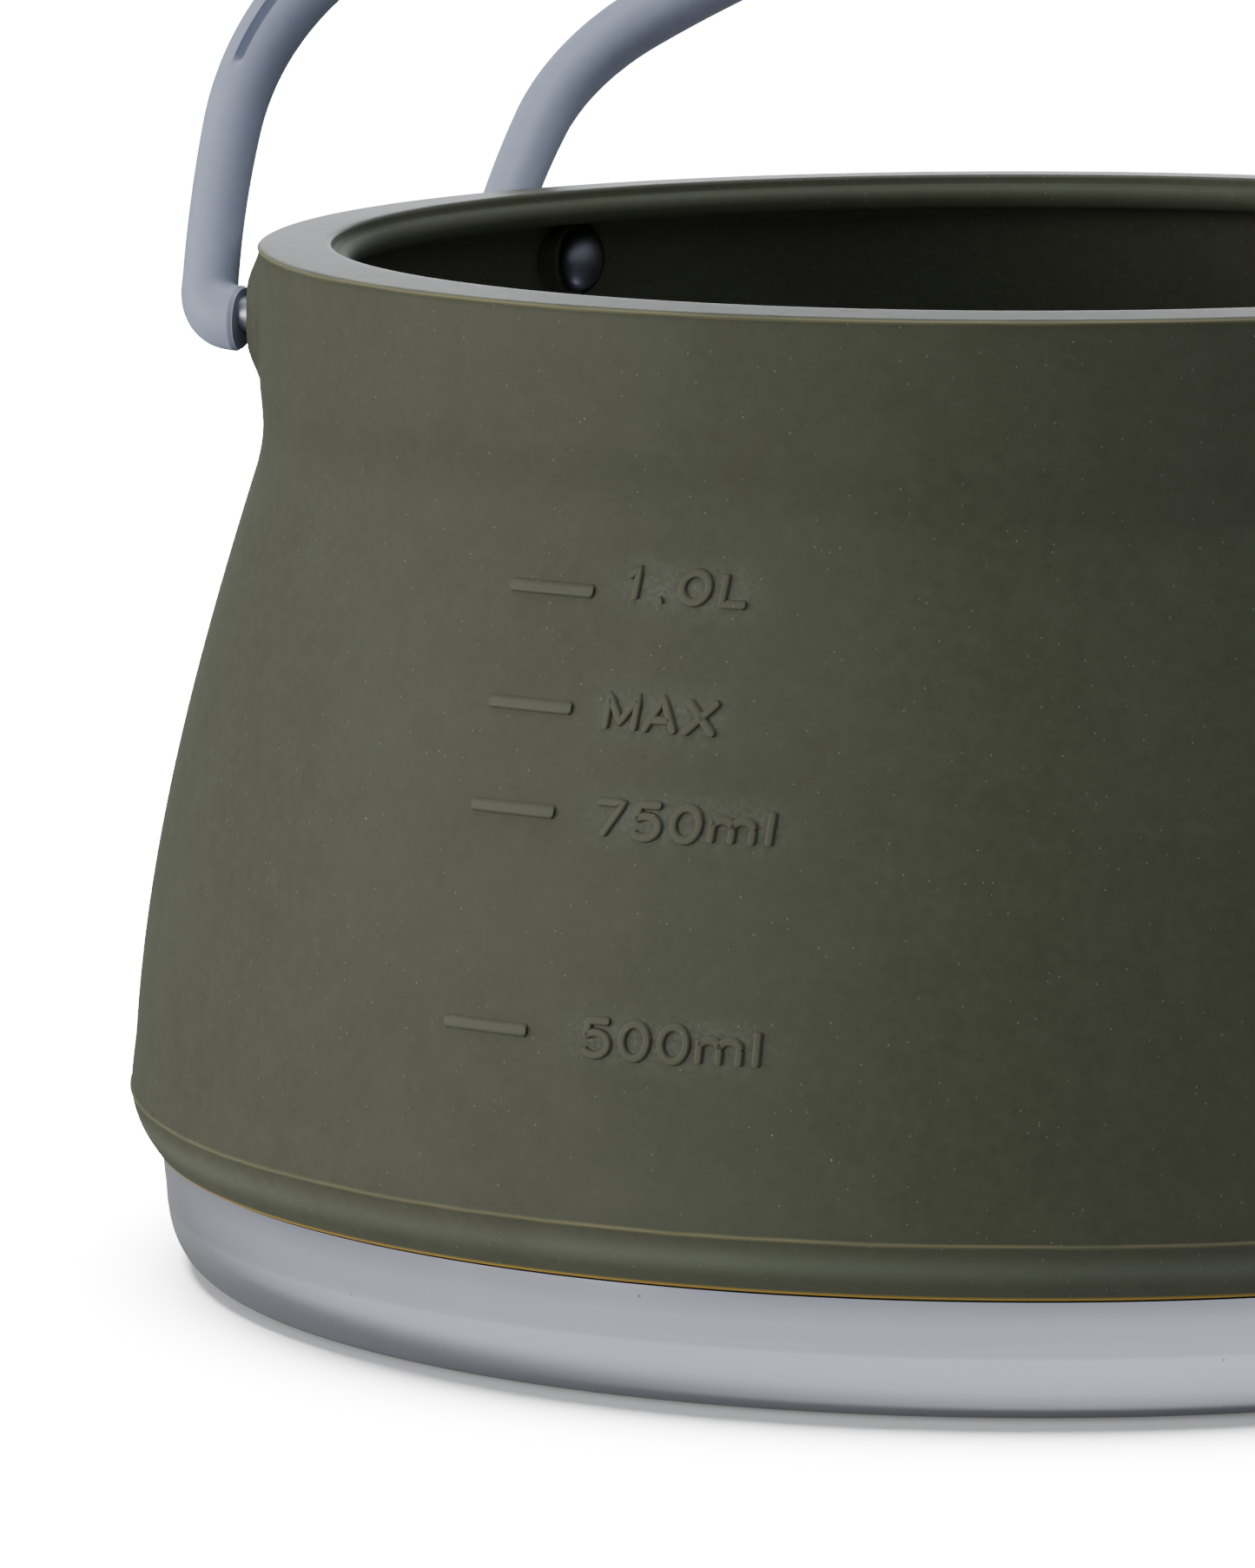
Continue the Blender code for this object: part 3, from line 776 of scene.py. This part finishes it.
@dataclass
class FillMarks:
    """Raised dashes and plain numbers that say how full the kettle is."""

    wall: KettleBody
    marks: tuple[Mark, ...] = (
        Mark(29.9, "500ml", 3.45, 15.8, 0.0, 0.95),
        Mark(47.05, "750ml", 3.3, 16.0, -0.1, 0.1),
        Mark(55.15, "MAX", 3.3, 10.0, 0.0, -0.1),
        Mark(64.25, "1.0L", 3.05, 11.6, 0.85, -0.3),
    )
    start_angle: float = math.radians(-104.0)
    label_angle: float = math.radians(-94.5)
    dash_length: float = 8.2
    dash_width: float = 1.10
    stroke_width: float = 0.74
    letter_gap: float = 0.20
    usual_advance: float = 0.94
    end_share: float = 0.6
    relief: float = 0.28
    fullness: float = 1.3
    sunk: float = 0.02

    STROKES = {
        "0": [("loop", 0.5, 0.5, 0.40, 0.5)],
        "1": [("line", (0.22, 0.74), (0.56, 1.0), (0.56, 0.0))],
        "5": [("line", (0.88, 1.0), (0.24, 1.0), (0.14, 0.50)),
              ("bow", 0.46, 0.33, 0.42, 0.33, 138, -150)],
        "7": [("line", (0.08, 1.0), (0.92, 1.0), (0.36, 0.0))],
        ".": [("line", (0.45, 0.0), (0.55, 0.04))],
        "L": [("line", (0.14, 1.0), (0.14, 0.0), (0.84, 0.0))],
        "l": [("line", (0.5, 1.0), (0.5, 0.0))],
        "m": [("line", (0.06, 0.0), (0.06, 0.70)), ("bow", 0.28, 0.46, 0.22, 0.22, 180, 0),
              ("line", (0.50, 0.46), (0.50, 0.0)), ("bow", 0.72, 0.46, 0.22, 0.22, 180, 0),
              ("line", (0.94, 0.46), (0.94, 0.0))],
        "M": [("line", (0.08, 0.0), (0.08, 1.0), (0.5, 0.22), (0.92, 1.0), (0.92, 0.0))],
        "A": [("line", (0.04, 0.0), (0.5, 1.0), (0.96, 0.0)), ("line", (0.22, 0.36), (0.78, 0.36))],
        "X": [("line", (0.06, 1.0), (0.94, 0.0)), ("line", (0.06, 0.0), (0.94, 1.0))],
    }
    ADVANCE = {".": 0.45, "l": 0.40, "m": 1.30, "1": 0.80, "M": 1.16, "A": 1.10, "X": 1.10}

    def label_strands(self, mark: Mark) -> list[Path]:
        """Strokes of one label, laid out flat: along the wall from its dash's start, and up."""
        widths = [self.ADVANCE.get(letter, self.usual_advance) for letter in mark.label]
        scale = mark.label_length / (sum(widths) + self.letter_gap * (len(widths) - 1))
        rise = mark.letter_height - self.stroke_width
        turn = self.label_angle - self.start_angle
        left = turn * self.wall.wall_radius(mark.height) + mark.label_shift
        up = mark.height + mark.label_rise
        strands, cursor = [], 0.0
        for letter, width in zip(mark.label, widths):
            for stroke in self.STROKES[letter]:
                path = [(cursor + x * width * scale, (y - 0.5) * rise)
                        for x, y in self._stroke_points(stroke)]
                strands.append([(left + x, up + y) for x, y in self._dense(path)])
            cursor += (width + self.letter_gap) * scale
        return strands

    @staticmethod
    def _stroke_points(stroke: tuple, steps: int = 28) -> Path:
        """Points of a stroke in a unit letter box."""
        if stroke[0] == "line":
            return list(stroke[1:])
        cx, cy, rx, ry = stroke[1:5]
        start, end = stroke[5:7] if stroke[0] == "bow" else (90.0, 450.0)
        angles = [math.radians(start + (end - start) * i / steps) for i in range(steps + 1)]
        return [(cx + rx * math.cos(a), cy + ry * math.sin(a)) for a in angles]

    @staticmethod
    def _dense(path: Path, spacing: float = 0.35, end_spacing: float = 0.45) -> Path:
        """Add points so that a long open stroke follows the wall and its ends round off.

        Args:
            path: The stroke's points; a closed stroke is given back as it is.
            spacing: Distance between points, in millimetres.
            end_spacing: Share of it between the last two points at each end.

        Returns:
            The points.
        """
        if math.dist(path[0], path[-1]) < 1e-6:
            return path

        def between(a: tuple[float, float], b: tuple[float, float],
                    share: float) -> tuple[float, float]:
            """The point at a share of the way from a to b."""
            return a[0] + (b[0] - a[0]) * share, a[1] + (b[1] - a[1]) * share

        dense = [path[0]]
        for a, b in zip(path, path[1:]):
            parts = max(1, round(math.hypot(b[0] - a[0], b[1] - a[1]) / spacing))
            dense += [between(a, b, i / parts) for i in range(1, parts + 1)]
        first = between(dense[0], dense[1], end_spacing)
        last = between(dense[-1], dense[-2], end_spacing)
        return [dense[0], first, *dense[1:-1], last, dense[-1]]

    def wrap_tree(self) -> Tree:
        """A mesh tree that sweeps the strokes and wraps them round the wall."""
        tree, graph, source, target = new_mesh_tree("raised_strokes", {
            "relief": self.relief, "start_angle": self.start_angle, "fullness": self.fullness})
        place = graph.node("GeometryNodeInputPosition")
        centre = graph.node("GeometryNodeCaptureAttribute", {"capture": ("VECTOR", "Centre")},
                            {0: source("Geometry"), 1: place})
        ring = graph.node("GeometryNodeCurvePrimitiveCircle", None, {"Resolution": 20, "Radius": 1.0})
        swept = graph.node("GeometryNodeCurveToMesh", None, {
            "Curve": centre, "Profile Curve": ring, "Fill Caps": True,
            "Scale": graph.node("GeometryNodeInputRadius")})
        outward = graph.vector("SUBTRACT", place, centre.output(1))
        half_width = graph.vector("LENGTH", outward, output="Value").most(0.01)
        x, _, z = graph.split(place)
        radius = self.wall.wall_radius(z)
        turn = x / radius + source("start_angle")
        thickness = graph.split(outward)[1]
        crown = (thickness / half_width * source("fullness")).most(-1.0).least(1.0)
        proud = radius - crown * source("relief") - self.sunk
        moved = graph.node("GeometryNodeSetPosition", None, {
            "Geometry": swept,
            "Position": graph.join(proud * turn.cosine() * MM, proud * turn.sine() * MM, z * MM)})
        finish_mesh_tree(graph, moved, target, source("Material"))
        return tree

    def build(self, material: Material) -> Item:
        """Make the marks as one piece, with their rest place stored like the wall's."""
        tree = self.wrap_tree()
        strands = [strand for mark in self.marks for strand in self.label_strands(mark)]
        dashes = [self._dense([(0.0, 0.0), (self.dash_length, 0.0)])] * len(self.marks)
        dashes = [[(x, mark.height + z) for x, z in dash] for dash, mark in zip(dashes, self.marks)]
        made = [
            run_mesh_tree(curve_object(name, paths, width / 2, self.end_share), tree,
                          {"Material": material})
            for name, paths, width in (("label_paths", strands, self.stroke_width),
                                       ("dash_paths", dashes, self.dash_width))
        ]
        mesh = bpy.data.meshes.new("fill_marks")
        settle(mesh, [item.data for item in made])
        mesh.materials.append(material)
        for item in made:
            bpy.data.objects.remove(item, do_unlink=True)
        return self.wall.bend(linked(bpy.data.objects.new("fill_marks", mesh)))


def new_mesh_tree(name: str, sizes: dict[str, float]) -> tuple[
        Tree, Graph, Callable[[str], Signal], Socket]:
    """Start a Geometry Nodes tree with named inputs.

    Args:
        name: The tree's name.
        sizes: Input name to its usual value.

    Returns:
        The tree, its graph, a function from input name to Signal, and the output socket.
    """
    tree = bpy.data.node_groups.new(name, "GeometryNodeTree")
    face = tree.interface
    face.new_socket("Geometry", in_out="INPUT", socket_type="NodeSocketGeometry")
    for key, value in sizes.items():
        made = face.new_socket(key, in_out="INPUT", socket_type="NodeSocketFloat")
        made.default_value = value
    face.new_socket("Material", in_out="INPUT", socket_type="NodeSocketMaterial")
    face.new_socket("Geometry", in_out="OUTPUT", socket_type="NodeSocketGeometry")
    graph = Graph(tree)
    entry = graph.node("NodeGroupInput")
    return tree, graph, entry.output, tree.nodes.new("NodeGroupOutput").inputs[0]


def finish_mesh_tree(graph: Graph, geometry: Signal, target: Socket,
                     material: Signal) -> None:
    """End a tree in Realize Instances and Set Material."""
    real = graph.node("GeometryNodeRealizeInstances", None, {0: geometry})
    dressed = graph.node("GeometryNodeSetMaterial", None, {"Geometry": real, "Material": material})
    graph.feed(target, dressed)


def evaluated_mesh(item: Item) -> Mesh:
    """An object's mesh with its modifiers applied."""
    graph = bpy.context.evaluated_depsgraph_get()
    return bpy.data.meshes.new_from_object(item.evaluated_get(graph))


def run_mesh_tree(item: Item, tree: Tree, values: dict[str, object]) -> Item:
    """Run a tree on an object and keep its result as a plain mesh.

    Args:
        item: The curve that the tree starts from; it is removed.
        tree: The tree.
        values: Input name to value.

    Returns:
        A new mesh object at the origin.
    """
    modifier = item.modifiers.new(tree.name, "NODES")
    modifier.node_group = tree
    for socket in tree.interface.items_tree:
        if socket.in_out == "INPUT" and socket.name in values:
            modifier[socket.identifier] = values[socket.name]
    made = linked(bpy.data.objects.new(item.name + "_mesh", evaluated_mesh(item)))
    bpy.data.objects.remove(item, do_unlink=True)
    return made


@dataclass
class SteelPan:
    """The drawn steel pan under the body."""

    flat_radius: float = 69.4
    bend_radius: float = 73.12
    bend_height: float = 5.6
    bend_share: float = 0.90
    wall_radius: float = 73.5
    visible_height: float = 10.1
    neck_radius: float = 72.7
    flange_radius: float = 74.9
    flange_height: float = 14.6
    sheet: float = 0.7
    groove_radii: tuple[float, float] = (47.0, 53.0)
    groove_depth: float = 0.5

    def groove(self, height: float, steps: int = 12) -> Path:
        """The pressed ring in the bottom, as a smooth hollow, from the middle out."""
        low, high = self.groove_radii
        shares = [i / steps for i in range(steps + 1)]
        return [(low + (high - low) * t, height + self.groove_depth * math.sin(math.pi * t) ** 2)
                for t in shares]

    def foot(self, offset: float, steps: int = 14) -> Path:
        """The rounded lower edge, offset inward by the sheet for its inner side."""
        width = self.bend_radius - self.flat_radius - offset
        turns = [math.pi / 2 * self.bend_share * i / steps for i in range(steps + 1)]
        return [(self.flat_radius + width * math.sin(turn),
                 offset + (self.bend_height - offset) * (1 - math.cos(turn))) for turn in turns]

    def build(self, finish: SteelFinish) -> Item:
        """Turn and dress the pan."""
        sheet, wall, neck = self.sheet, self.wall_radius, self.neck_radius
        rim, top = self.flange_radius, self.flange_height
        outer = [(0.0, 0.0)] + self.groove(0.0) + self.foot(0.0) + [
            (73.16, 5.25), (73.24, 6.6), (73.38, 7.9), (wall, 9.3), (wall, self.visible_height),
            (neck, 11.0), (neck, top - sheet), (rim, top - sheet), (rim, top)]
        inner = [(0.0, sheet)] + self.groove(sheet) + self.foot(sheet) + [
            (73.16 - sheet, 5.25), (wall - sheet, 9.3), (wall - sheet, self.visible_height),
            (neck - sheet, 11.0), (neck - sheet, top - 0.5), (neck - sheet + 0.5, top)]
        pan = lathe("steel_pan", outer + inner[::-1], segments=288)
        pan.data.set_sharp_from_angle(angle=math.radians(40.0))
        pan.data.materials.append(finish.material())
        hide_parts("base_pan")
        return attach(pan, Body.BASE.value)


@dataclass(frozen=True)
class Sweep:
    """One part's shape along a bow; each field is an input of the sweep tree."""

    radius: float = 1.0
    grip_half_width: float = 1.0
    grip_half_thick: float = 1.0
    end_round: float = 1.0
    swell_start: float = 0.0
    swell_end: float = 1.0
    groove_half_width: float = 1.0
    groove_depth: float = 0.0
    groove_start: float = 0.0
    heel: float = 0.0
    heel_run: float = 1.0
    outward: float = 1.0


@dataclass
class BowHandle:
    """One bow: bent wire, silicone sleeve with a grip, and the caps on its pins."""

    side: Side
    splay: float
    hinge_y: float = 26.6
    hinge_z: float = 80.4
    foot_half_span: float = 64.45
    foot_lean: float = 9.5
    elbow_radius: float = 2.8
    leg_radius: float = 98.4
    leg_end_angle: float = -0.8
    corner_radius: float = 21.6
    corner_end_angle: float = 39.3
    wire_end: float = 54.9
    sleeve_end: float = 60.5
    wire: Sweep = Sweep(1.55, 1.55, 1.55, 0.3)
    sleeve: Sweep = Sweep(2.42, 3.3, 2.9, 0.35, 9.0, 53.0, 0.36, 0.85, 24.6, 0.9, 6.0)
    cap_radius: float = 2.7
    cap_length: float = 2.3
    cap_back: float = 55.7

    def half_path(self, start_u: float) -> Path:
        """Centre line in the upright plane, from an end on the pin to the crown's middle."""
        elbow_u = self.foot_half_span - self.elbow_radius
        points = [(-u, 0.0) for u in np.linspace(start_u, elbow_u, 8)]
        heading = -math.pi / 2
        for radius, degrees, steps in (
            (self.elbow_radius, -self.foot_lean, 14),
            (self.leg_radius, self.leg_end_angle, 16),
            (self.corner_radius, self.corner_end_angle, 28),
            (None, 90.0, 64),
        ):
            u, v = points[-1]
            turns = np.linspace(heading, math.radians(degrees), steps + 1)
            radius = radius or -u / math.cos(heading)
            points += [(u + radius * (math.cos(heading) - math.cos(turn)),
                        v + radius * (math.sin(turn) - math.sin(heading))) for turn in turns[1:]]
            heading = turns[-1]
        return points

    @staticmethod
    def sweep_tree() -> Tree:
        """A mesh tree that sweeps a bow: round at the legs, wider at the grip, grooved outside."""
        tree, graph, source, target = new_mesh_tree("bow_sweep", asdict(Sweep()))

        def capture(geometry: Signal, kind: str, value: Signal) -> Signal:
            """Keep a value at the curve's points; it is the second output."""
            return graph.node("GeometryNodeCaptureAttribute", {"capture": (kind, "Kept")},
                              {0: geometry, 1: value})

        place = graph.node("GeometryNodeInputPosition")
        placed = capture(source("Geometry"), "VECTOR", place)
        along = graph.node("GeometryNodeSplineParameter", output="Length")
        total = graph.node("GeometryNodeSplineLength", output="Length")
        measured = capture(placed, "FLOAT", along.least(total - along))
        aimed = capture(measured, "VECTOR", graph.node("GeometryNodeInputTangent"))
        centre, run = placed.output(1), measured.output(1)
        tx, _, tz = graph.split(aimed.output(1))
        ring = graph.node("GeometryNodeCurvePrimitiveCircle", None, {"Resolution": 72, "Radius": 1.0})
        swept = graph.node("GeometryNodeCurveToMesh", None, {
            "Curve": aimed, "Profile Curve": ring, "Fill Caps": True})

        radius, outward = source("radius"), source("outward")
        swell = run.eased(source("swell_start"), source("swell_end"))
        half_width = radius + (source("grip_half_width") - radius) * swell
        half_thick = radius + (source("grip_half_thick") - radius) * swell
        near_end = (1.0 - run / source("end_round")).most(0.0)
        rounding = (1.0 - near_end * near_end).most(0.0).root().most(0.92)
        x, y, z = graph.split(graph.vector("SUBTRACT", place, centre))
        across = (x * x + z * z).root() * half_width
        hollow = (1.0 - (across / source("groove_half_width")).least(1.0) ** 2.0).root()
        start = source("groove_start")
        groove = (hollow * (y * outward).eased(0.0, 0.5) * source("groove_depth")
                  * run.eased(start, start + 0.9))
        outside = (z * tx - x * tz).most(0.0)
        heel = source("heel") * (1.0 - run.eased(0.0, source("heel_run"))) * outside
        spread = half_width * rounding + heel
        cx, cy, cz = graph.split(centre)
        moved = graph.node("GeometryNodeSetPosition", None, {
            "Geometry": swept,
            "Position": graph.join(
                (cx + x * spread) * MM,
                (cy + y * half_thick * rounding - groove * outward) * MM,
                (cz + z * spread) * MM,
            )})
        finish_mesh_tree(graph, moved, target, source("Material"))
        return tree

    def swept(self, tree: Tree, start_u: float, shape: Sweep, look: Material) -> Item:
        """Sweep a part upright along the whole centre line, from both ends on the pins."""
        half = self.half_path(start_u)
        path = half + [(-u, v) for u, v in reversed(half[:-1])]
        values = asdict(replace(shape, outward=self.side.value)) | {"Material": look}
        return run_mesh_tree(curve_object("bow_line", [path]), tree, values)

    def build(self, tree: Tree, wire_look: Material, sleeve_look: Material,
              cap_look: Material) -> list[Item]:
        """Make the bow's pieces.

        Args:
            tree: The sweep tree that wire and sleeve share.
            wire_look: Material of the wire.
            sleeve_look: Material of the sleeve.
            cap_look: Material of the caps on its pins.

        Returns:
            The pieces, riding on this handle's body.
        """
        word, sign = self.side.word, self.side.value
        wire = self.swept(tree, self.wire_end, self.wire, wire_look)
        sleeve = self.swept(tree, self.sleeve_end, self.sleeve, sleeve_look)
        pieces = [(wire, f"bow_wire_{word}", f"handle_wire_{word}", Slot.WIRE),
                  (sleeve, f"bow_sleeve_{word}", f"handle_sleeve_{word}", Slot.GREY)]
        for end, place in ((1.0, "front"), (-1.0, "rear")):
            pieces.append((self.cap(end, cap_look), f"pin_cap_{place}_{word}",
                           f"pivot_cap_{place}_{word}", Slot.WIRE))
        lean = Matrix.Rotation(-sign * math.radians(self.splay), 4, "X")
        hinge = Matrix.Translation(Vector((0.0, sign * self.hinge_y, self.hinge_z)) * MM)
        for item, name, node, slot in pieces:
            item.name = item.data.name = name
            item.data.transform(hinge @ lean)
            settle(item.data, [item.data])
            item.data.set_sharp_from_angle(angle=math.radians(60.0))
            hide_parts(node)
            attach(item, f"{word}_handle")
        return [piece[0] for piece in pieces]

    def cap(self, end: float, look: Material, sides: int = 48, steps: int = 12) -> Item:
        """A dome cap on a pin's inner end, turned about the hinge line."""
        back, radius = self.cap_back, self.cap_radius
        turns = [math.pi / 2 * i / steps for i in range(steps + 1)]
        stations = [(back - 0.5 - (self.cap_length - 0.5) * math.cos(turn), radius * math.sin(turn))
                    for turn in turns]
        stations += [(back - 0.1, radius), (back, radius - 0.1), (back, 0.0)]
        cap = mesh_object("cap", hinge_rings(stations, end, 0.0, 0.0, sides),
                          grid_faces(len(stations), sides, closed=False))
        cap.data.materials.append(look)
        return cap


@dataclass(frozen=True)
class SoftBox:
    """A soft rectangular lamp.

    Attributes:
        name: The lamp's name.
        azimuth: Degrees round from the camera, to its right.
        elevation: Degrees above the floor.
        distance: Metres from the kettle.
        size: Width and height, in metres.
        power: Watts.
        colour: Light colour.
    """

    name: str
    azimuth: float
    elevation: float
    distance: float
    size: tuple[float, float]
    power: float
    colour: Colour


@dataclass(frozen=True)
class Paper:
    """A round sheet of matt paper under the kettle.

    Attributes:
        name: The sheet's name.
        tone: Share of the light that it gives back.
        glow: Light that creeps in under the kettle, where no lamp reaches.
        edge: Radii between which its dim middle, a painted shadow under the pan, turns pale, in
            millimetres.
        fade: Radii between which it dims to a little over half its tone, a painted shade away from
            the kettle.
    """

    name: str
    tone: float
    glow: float
    edge: tuple[float, float] = (0.0, 0.001)
    fade: tuple[float, float] = (5000.0, 6000.0)

    def build(self, profile: Path) -> Item:
        """Turn the sheet from points (radius, height), give it its matt finish and keep it from
        casting shadows.
        """
        item = lathe(self.name, profile, segments=96)
        material, graph, shader = new_material(self.name + "_matt")
        place = graph.node("ShaderNodeTexCoord", output="Object")
        tone = self.tone
        plain = graph.blend_colour(graph.noise(place, 3.0), (tone, tone, tone),
                                   (tone * 0.97, tone * 0.97, tone * 0.975))
        x, y, _ = graph.split(place)
        radius = (x * x + y * y).root()
        # Painted shadow: the middle under the pan is dimmed to 0.65 of the tone. Painted shade:
        # further out the sheet dims again.
        clear_of_painted_shadow = radius.eased(self.edge[0] * MM, self.edge[1] * MM) * 0.35 + 0.65
        painted_far_shade = radius.eased(self.fade[0] * MM, self.fade[1] * MM) * 0.45
        graph.feed(shader["Base Color"], graph.blend_colour(clear_of_painted_shadow - painted_far_shade, BLACK, plain))
        shader["Roughness"].default_value = 1.0
        shader["Specular IOR Level"].default_value = 0.0
        shader["Emission Color"].default_value = (1.0, 1.0, 1.0, 1.0)
        shader["Emission Strength"].default_value = self.glow
        item.data.materials.append(material)
        for polygon in item.data.polygons:
            if polygon.normal.z < 0:
                polygon.flip()
        item.visible_shadow = False
        return item


@dataclass
class Studio:
    """Pale floor, soft lights and the photograph's camera."""

    camera_distance: float = 854.8
    camera_height: float = 170.6
    camera_azimuth: float = -66.0
    yaw: float = -0.0393
    pitch: float = -0.1514
    roll: float = -0.0028
    focal_pixels: float = 11650.0
    long_side: float = 1806.0
    floor_light: float = 118.0
    floor_light_spread: float = 56.0
    floor_light_height: float = 66.0
    cove_start: float = 2600.0
    cove_radius: float = 1400.0
    air_light: float = 0.55
    air_colour: Colour = (0.92, 0.95, 1.0)
    floor: Paper = Paper("pale_floor", 0.5, 0.16)
    card: Paper = Paper("bounce_sheet", 0.30, 0.06, (66.5, 75.5), (84.0, 114.0))
    card_lamp: SoftBox = SoftBox("card_light", 14.0, 50.0, 0.22, (0.08, 0.08), 1.45,
                                 (0.96, 0.965, 1.0))
    lamps: tuple[SoftBox, ...] = (
        SoftBox("key_left", -70.0, 6.0, 1.4, (1.3, 0.5), 21.0, (1.0, 0.99, 0.97)),
        SoftBox("back_low", 180.0, 8.5, 1.6, (1.0, 0.36), 10.0, (0.90, 0.95, 1.0)),
        SoftBox("top_soft", 180.0, 88.0, 1.6, (0.9, 0.9), 17.0, (0.95, 0.98, 1.0)),
    )

    def place_camera(self) -> None:
        """Set the camera where the photograph was taken from."""
        turn = Matrix.Rotation(math.radians(self.camera_azimuth + 90.0), 4, "Z")
        stand = Matrix.Translation(Vector((0.0, -self.camera_distance, self.camera_height)) * MM)
        axes = (Matrix.Rotation(-self.yaw, 4, "Z") @ Matrix.Rotation(math.pi / 2 + self.pitch, 4, "X")
                @ Matrix.Rotation(self.roll, 4, "Z"))
        data = bpy.data.cameras.new("photo_camera")
        data.sensor_width = 36.0
        data.lens = self.focal_pixels / self.long_side * data.sensor_width
        data.clip_start, data.clip_end = 0.05, 30.0
        item = linked(bpy.data.objects.new("photo_camera", data))
        item.matrix_world = turn @ stand @ axes
        bpy.context.scene.camera = item

    def lay_floor(self, pan: Item) -> None:
        """A pale floor, shaded by the pan alone, and the dimmer sheet that the kettle mirrors."""
        turns = [math.pi / 2 * i / 10 for i in range(11)]
        cove = [(self.cove_start + self.cove_radius * math.sin(turn),
                 self.cove_radius * (1.0 - math.cos(turn)) - 0.1) for turn in turns]
        pale = self.floor.build([(0.0, -0.1), (400.0, -0.1), *cove, (4000.0, 3500.0)])
        pale.visible_diffuse = pale.visible_glossy = False
        card = self.card.build([(0.0, -0.05), (150.0, -0.05), (900.0, -0.05)])
        card.visible_camera = card.visible_diffuse = False
        data = bpy.data.lights.new("floor_light", "SUN")
        data.energy = self.floor_light
        data.angle = math.radians(self.floor_light_spread)
        sun = self.hang(data, 180.0, self.floor_light_height, 2.0)
        self.aim(sun, pale, [pan])
        self.aim(self.soft_box(self.card_lamp), card, [])

    @staticmethod
    def aim(light: Item, lit: Item, shading: list[Item]) -> None:
        """Let a light shine on one sheet alone, shaded by the given objects only."""
        groups = []
        for use, members in (("lit", [lit]), ("shading", shading)):
            group = bpy.data.collections.new(f"{light.name}_{use}")
            for member in members:
                group.objects.link(member)
            groups.append(group)
        light.light_linking.receiver_collection, light.light_linking.blocker_collection = groups

    def hang(self, data: bpy.types.Light, azimuth: float, elevation: float,
             distance: float) -> Item:
        """Hang a light so that it shines on the kettle.

        Args:
            data: The light.
            azimuth: Degrees round from the camera, to its right.
            elevation: Degrees above the floor.
            distance: Metres from the kettle.

        Returns:
            The light's object, which the camera doesn't see.
        """
        item = linked(bpy.data.objects.new(data.name, data))
        a, e = math.radians(self.camera_azimuth + azimuth), math.radians(elevation)
        out = Vector((math.cos(a) * math.cos(e), math.sin(a) * math.cos(e), math.sin(e)))
        item.location = Vector((0.0, 0.0, 0.05)) + out * distance
        item.rotation_mode = "QUATERNION"
        item.rotation_quaternion = out.to_track_quat("Z", "Y")
        item.visible_camera = False
        return item

    def soft_box(self, lamp: SoftBox) -> Item:
        """Make one soft box and hang it."""
        data = bpy.data.lights.new(lamp.name, "AREA")
        data.shape = "RECTANGLE"
        data.size, data.size_y = lamp.size
        data.energy = lamp.power
        data.color = lamp.colour
        return self.hang(data, lamp.azimuth, lamp.elevation, lamp.distance)

    def build(self, pan: Item) -> None:
        """Set up floor, camera, lights and sky round the pan."""
        self.lay_floor(pan)
        self.place_camera()
        for lamp in self.lamps:
            self.soft_box(lamp)
        world = bpy.data.worlds.new("studio_air")
        world.use_nodes = True
        background = world.node_tree.nodes["Background"].inputs
        background["Color"].default_value = (*self.air_colour, 1.0)
        background["Strength"].default_value = self.air_light
        bpy.context.scene.world = world


OLIVE = SiliconeFinish(
    name="olive_silicone_skin", colour=srgb(56, 58, 42), worn=srgb(71, 74, 59), roughness=0.72,
    specular=0.30, dust=0.40, grain=0.45, flash_heights=(15.05, 86.62), edge_height=10.38,
    sheen_height=13.0, polished_height=86.8,
    frosted=((29.9, -95.0, -81.0), (47.05, -95.0, -80.5), (55.15, -95.0, -86.0),
             (64.9, -95.0, -84.5)),
)
# The raised marks are the skin's silicone with a smoother finish of their own; their lighter,
# yellower colour is painted light on their raised faces.
RAISED_PAINTED_LIGHT = SiliconeFinish(
    name="olive_silicone_raised", colour=srgb(63, 64, 47), worn=srgb(73, 74, 57), roughness=0.66,
    specular=0.34, dust=0.40, grain=0.30,
)
GREY = SiliconeFinish(
    name="grey_silicone_sleeve", colour=srgb(132, 138, 157), worn=srgb(144, 150, 169),
    roughness=0.54, specular=0.36, dust=0.12, grain=0.15,
)
PAN_STEEL = SteelFinish("drawn_pan_steel", (0.52, 0.53, 0.60), 0.20, 0.10, turned=True)
# Painted shade: the wire's steel is darker than the pan's, so that the pin ends look dim in the
# sleeves' shadow.
DIMMED_WIRE_STEEL = SteelFinish("drawn_wire_steel_painted_shade", (0.36, 0.37, 0.42), 0.42, 0.2, turned=False)
# Painted shade: the caps' steel is much darker than the wire's, for the dim inside of the kettle
# where they sit.
SHADED_CAP_STEEL = SteelFinish("pin_cap_steel_painted_shade", (0.22, 0.23, 0.27), 0.48, 0.2, turned=False)


def main() -> None:
    """Build every piece in order, report it and set up the studio."""
    logging.basicConfig(level=logging.INFO, format="%(name)s: %(message)s")
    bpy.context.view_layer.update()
    body = KettleBody()
    skin = body.build(OLIVE)
    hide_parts("base_skirt", "folding_wall", "spout_collar")
    pan = SteelPan().build(PAN_STEEL)
    made = [skin, FillMarks(body).build(RAISED_PAINTED_LIGHT.material(follows_rest=True)), pan]
    tree = BowHandle.sweep_tree()
    wire_look, cap_look = DIMMED_WIRE_STEEL.material(), SHADED_CAP_STEEL.material()
    sleeve_look = GREY.material(follows_rest=False)
    for side, splay in ((Side.LEFT, 51.0), (Side.RIGHT, -26.9)):
        made += BowHandle(side, splay).build(tree, wire_look, sleeve_look, cap_look)
    for item in made:
        LOG.info("%s: %d faces", item.name, len(item.data.polygons))
    Studio().build(pan)


if __name__ == "__main__":
    main()
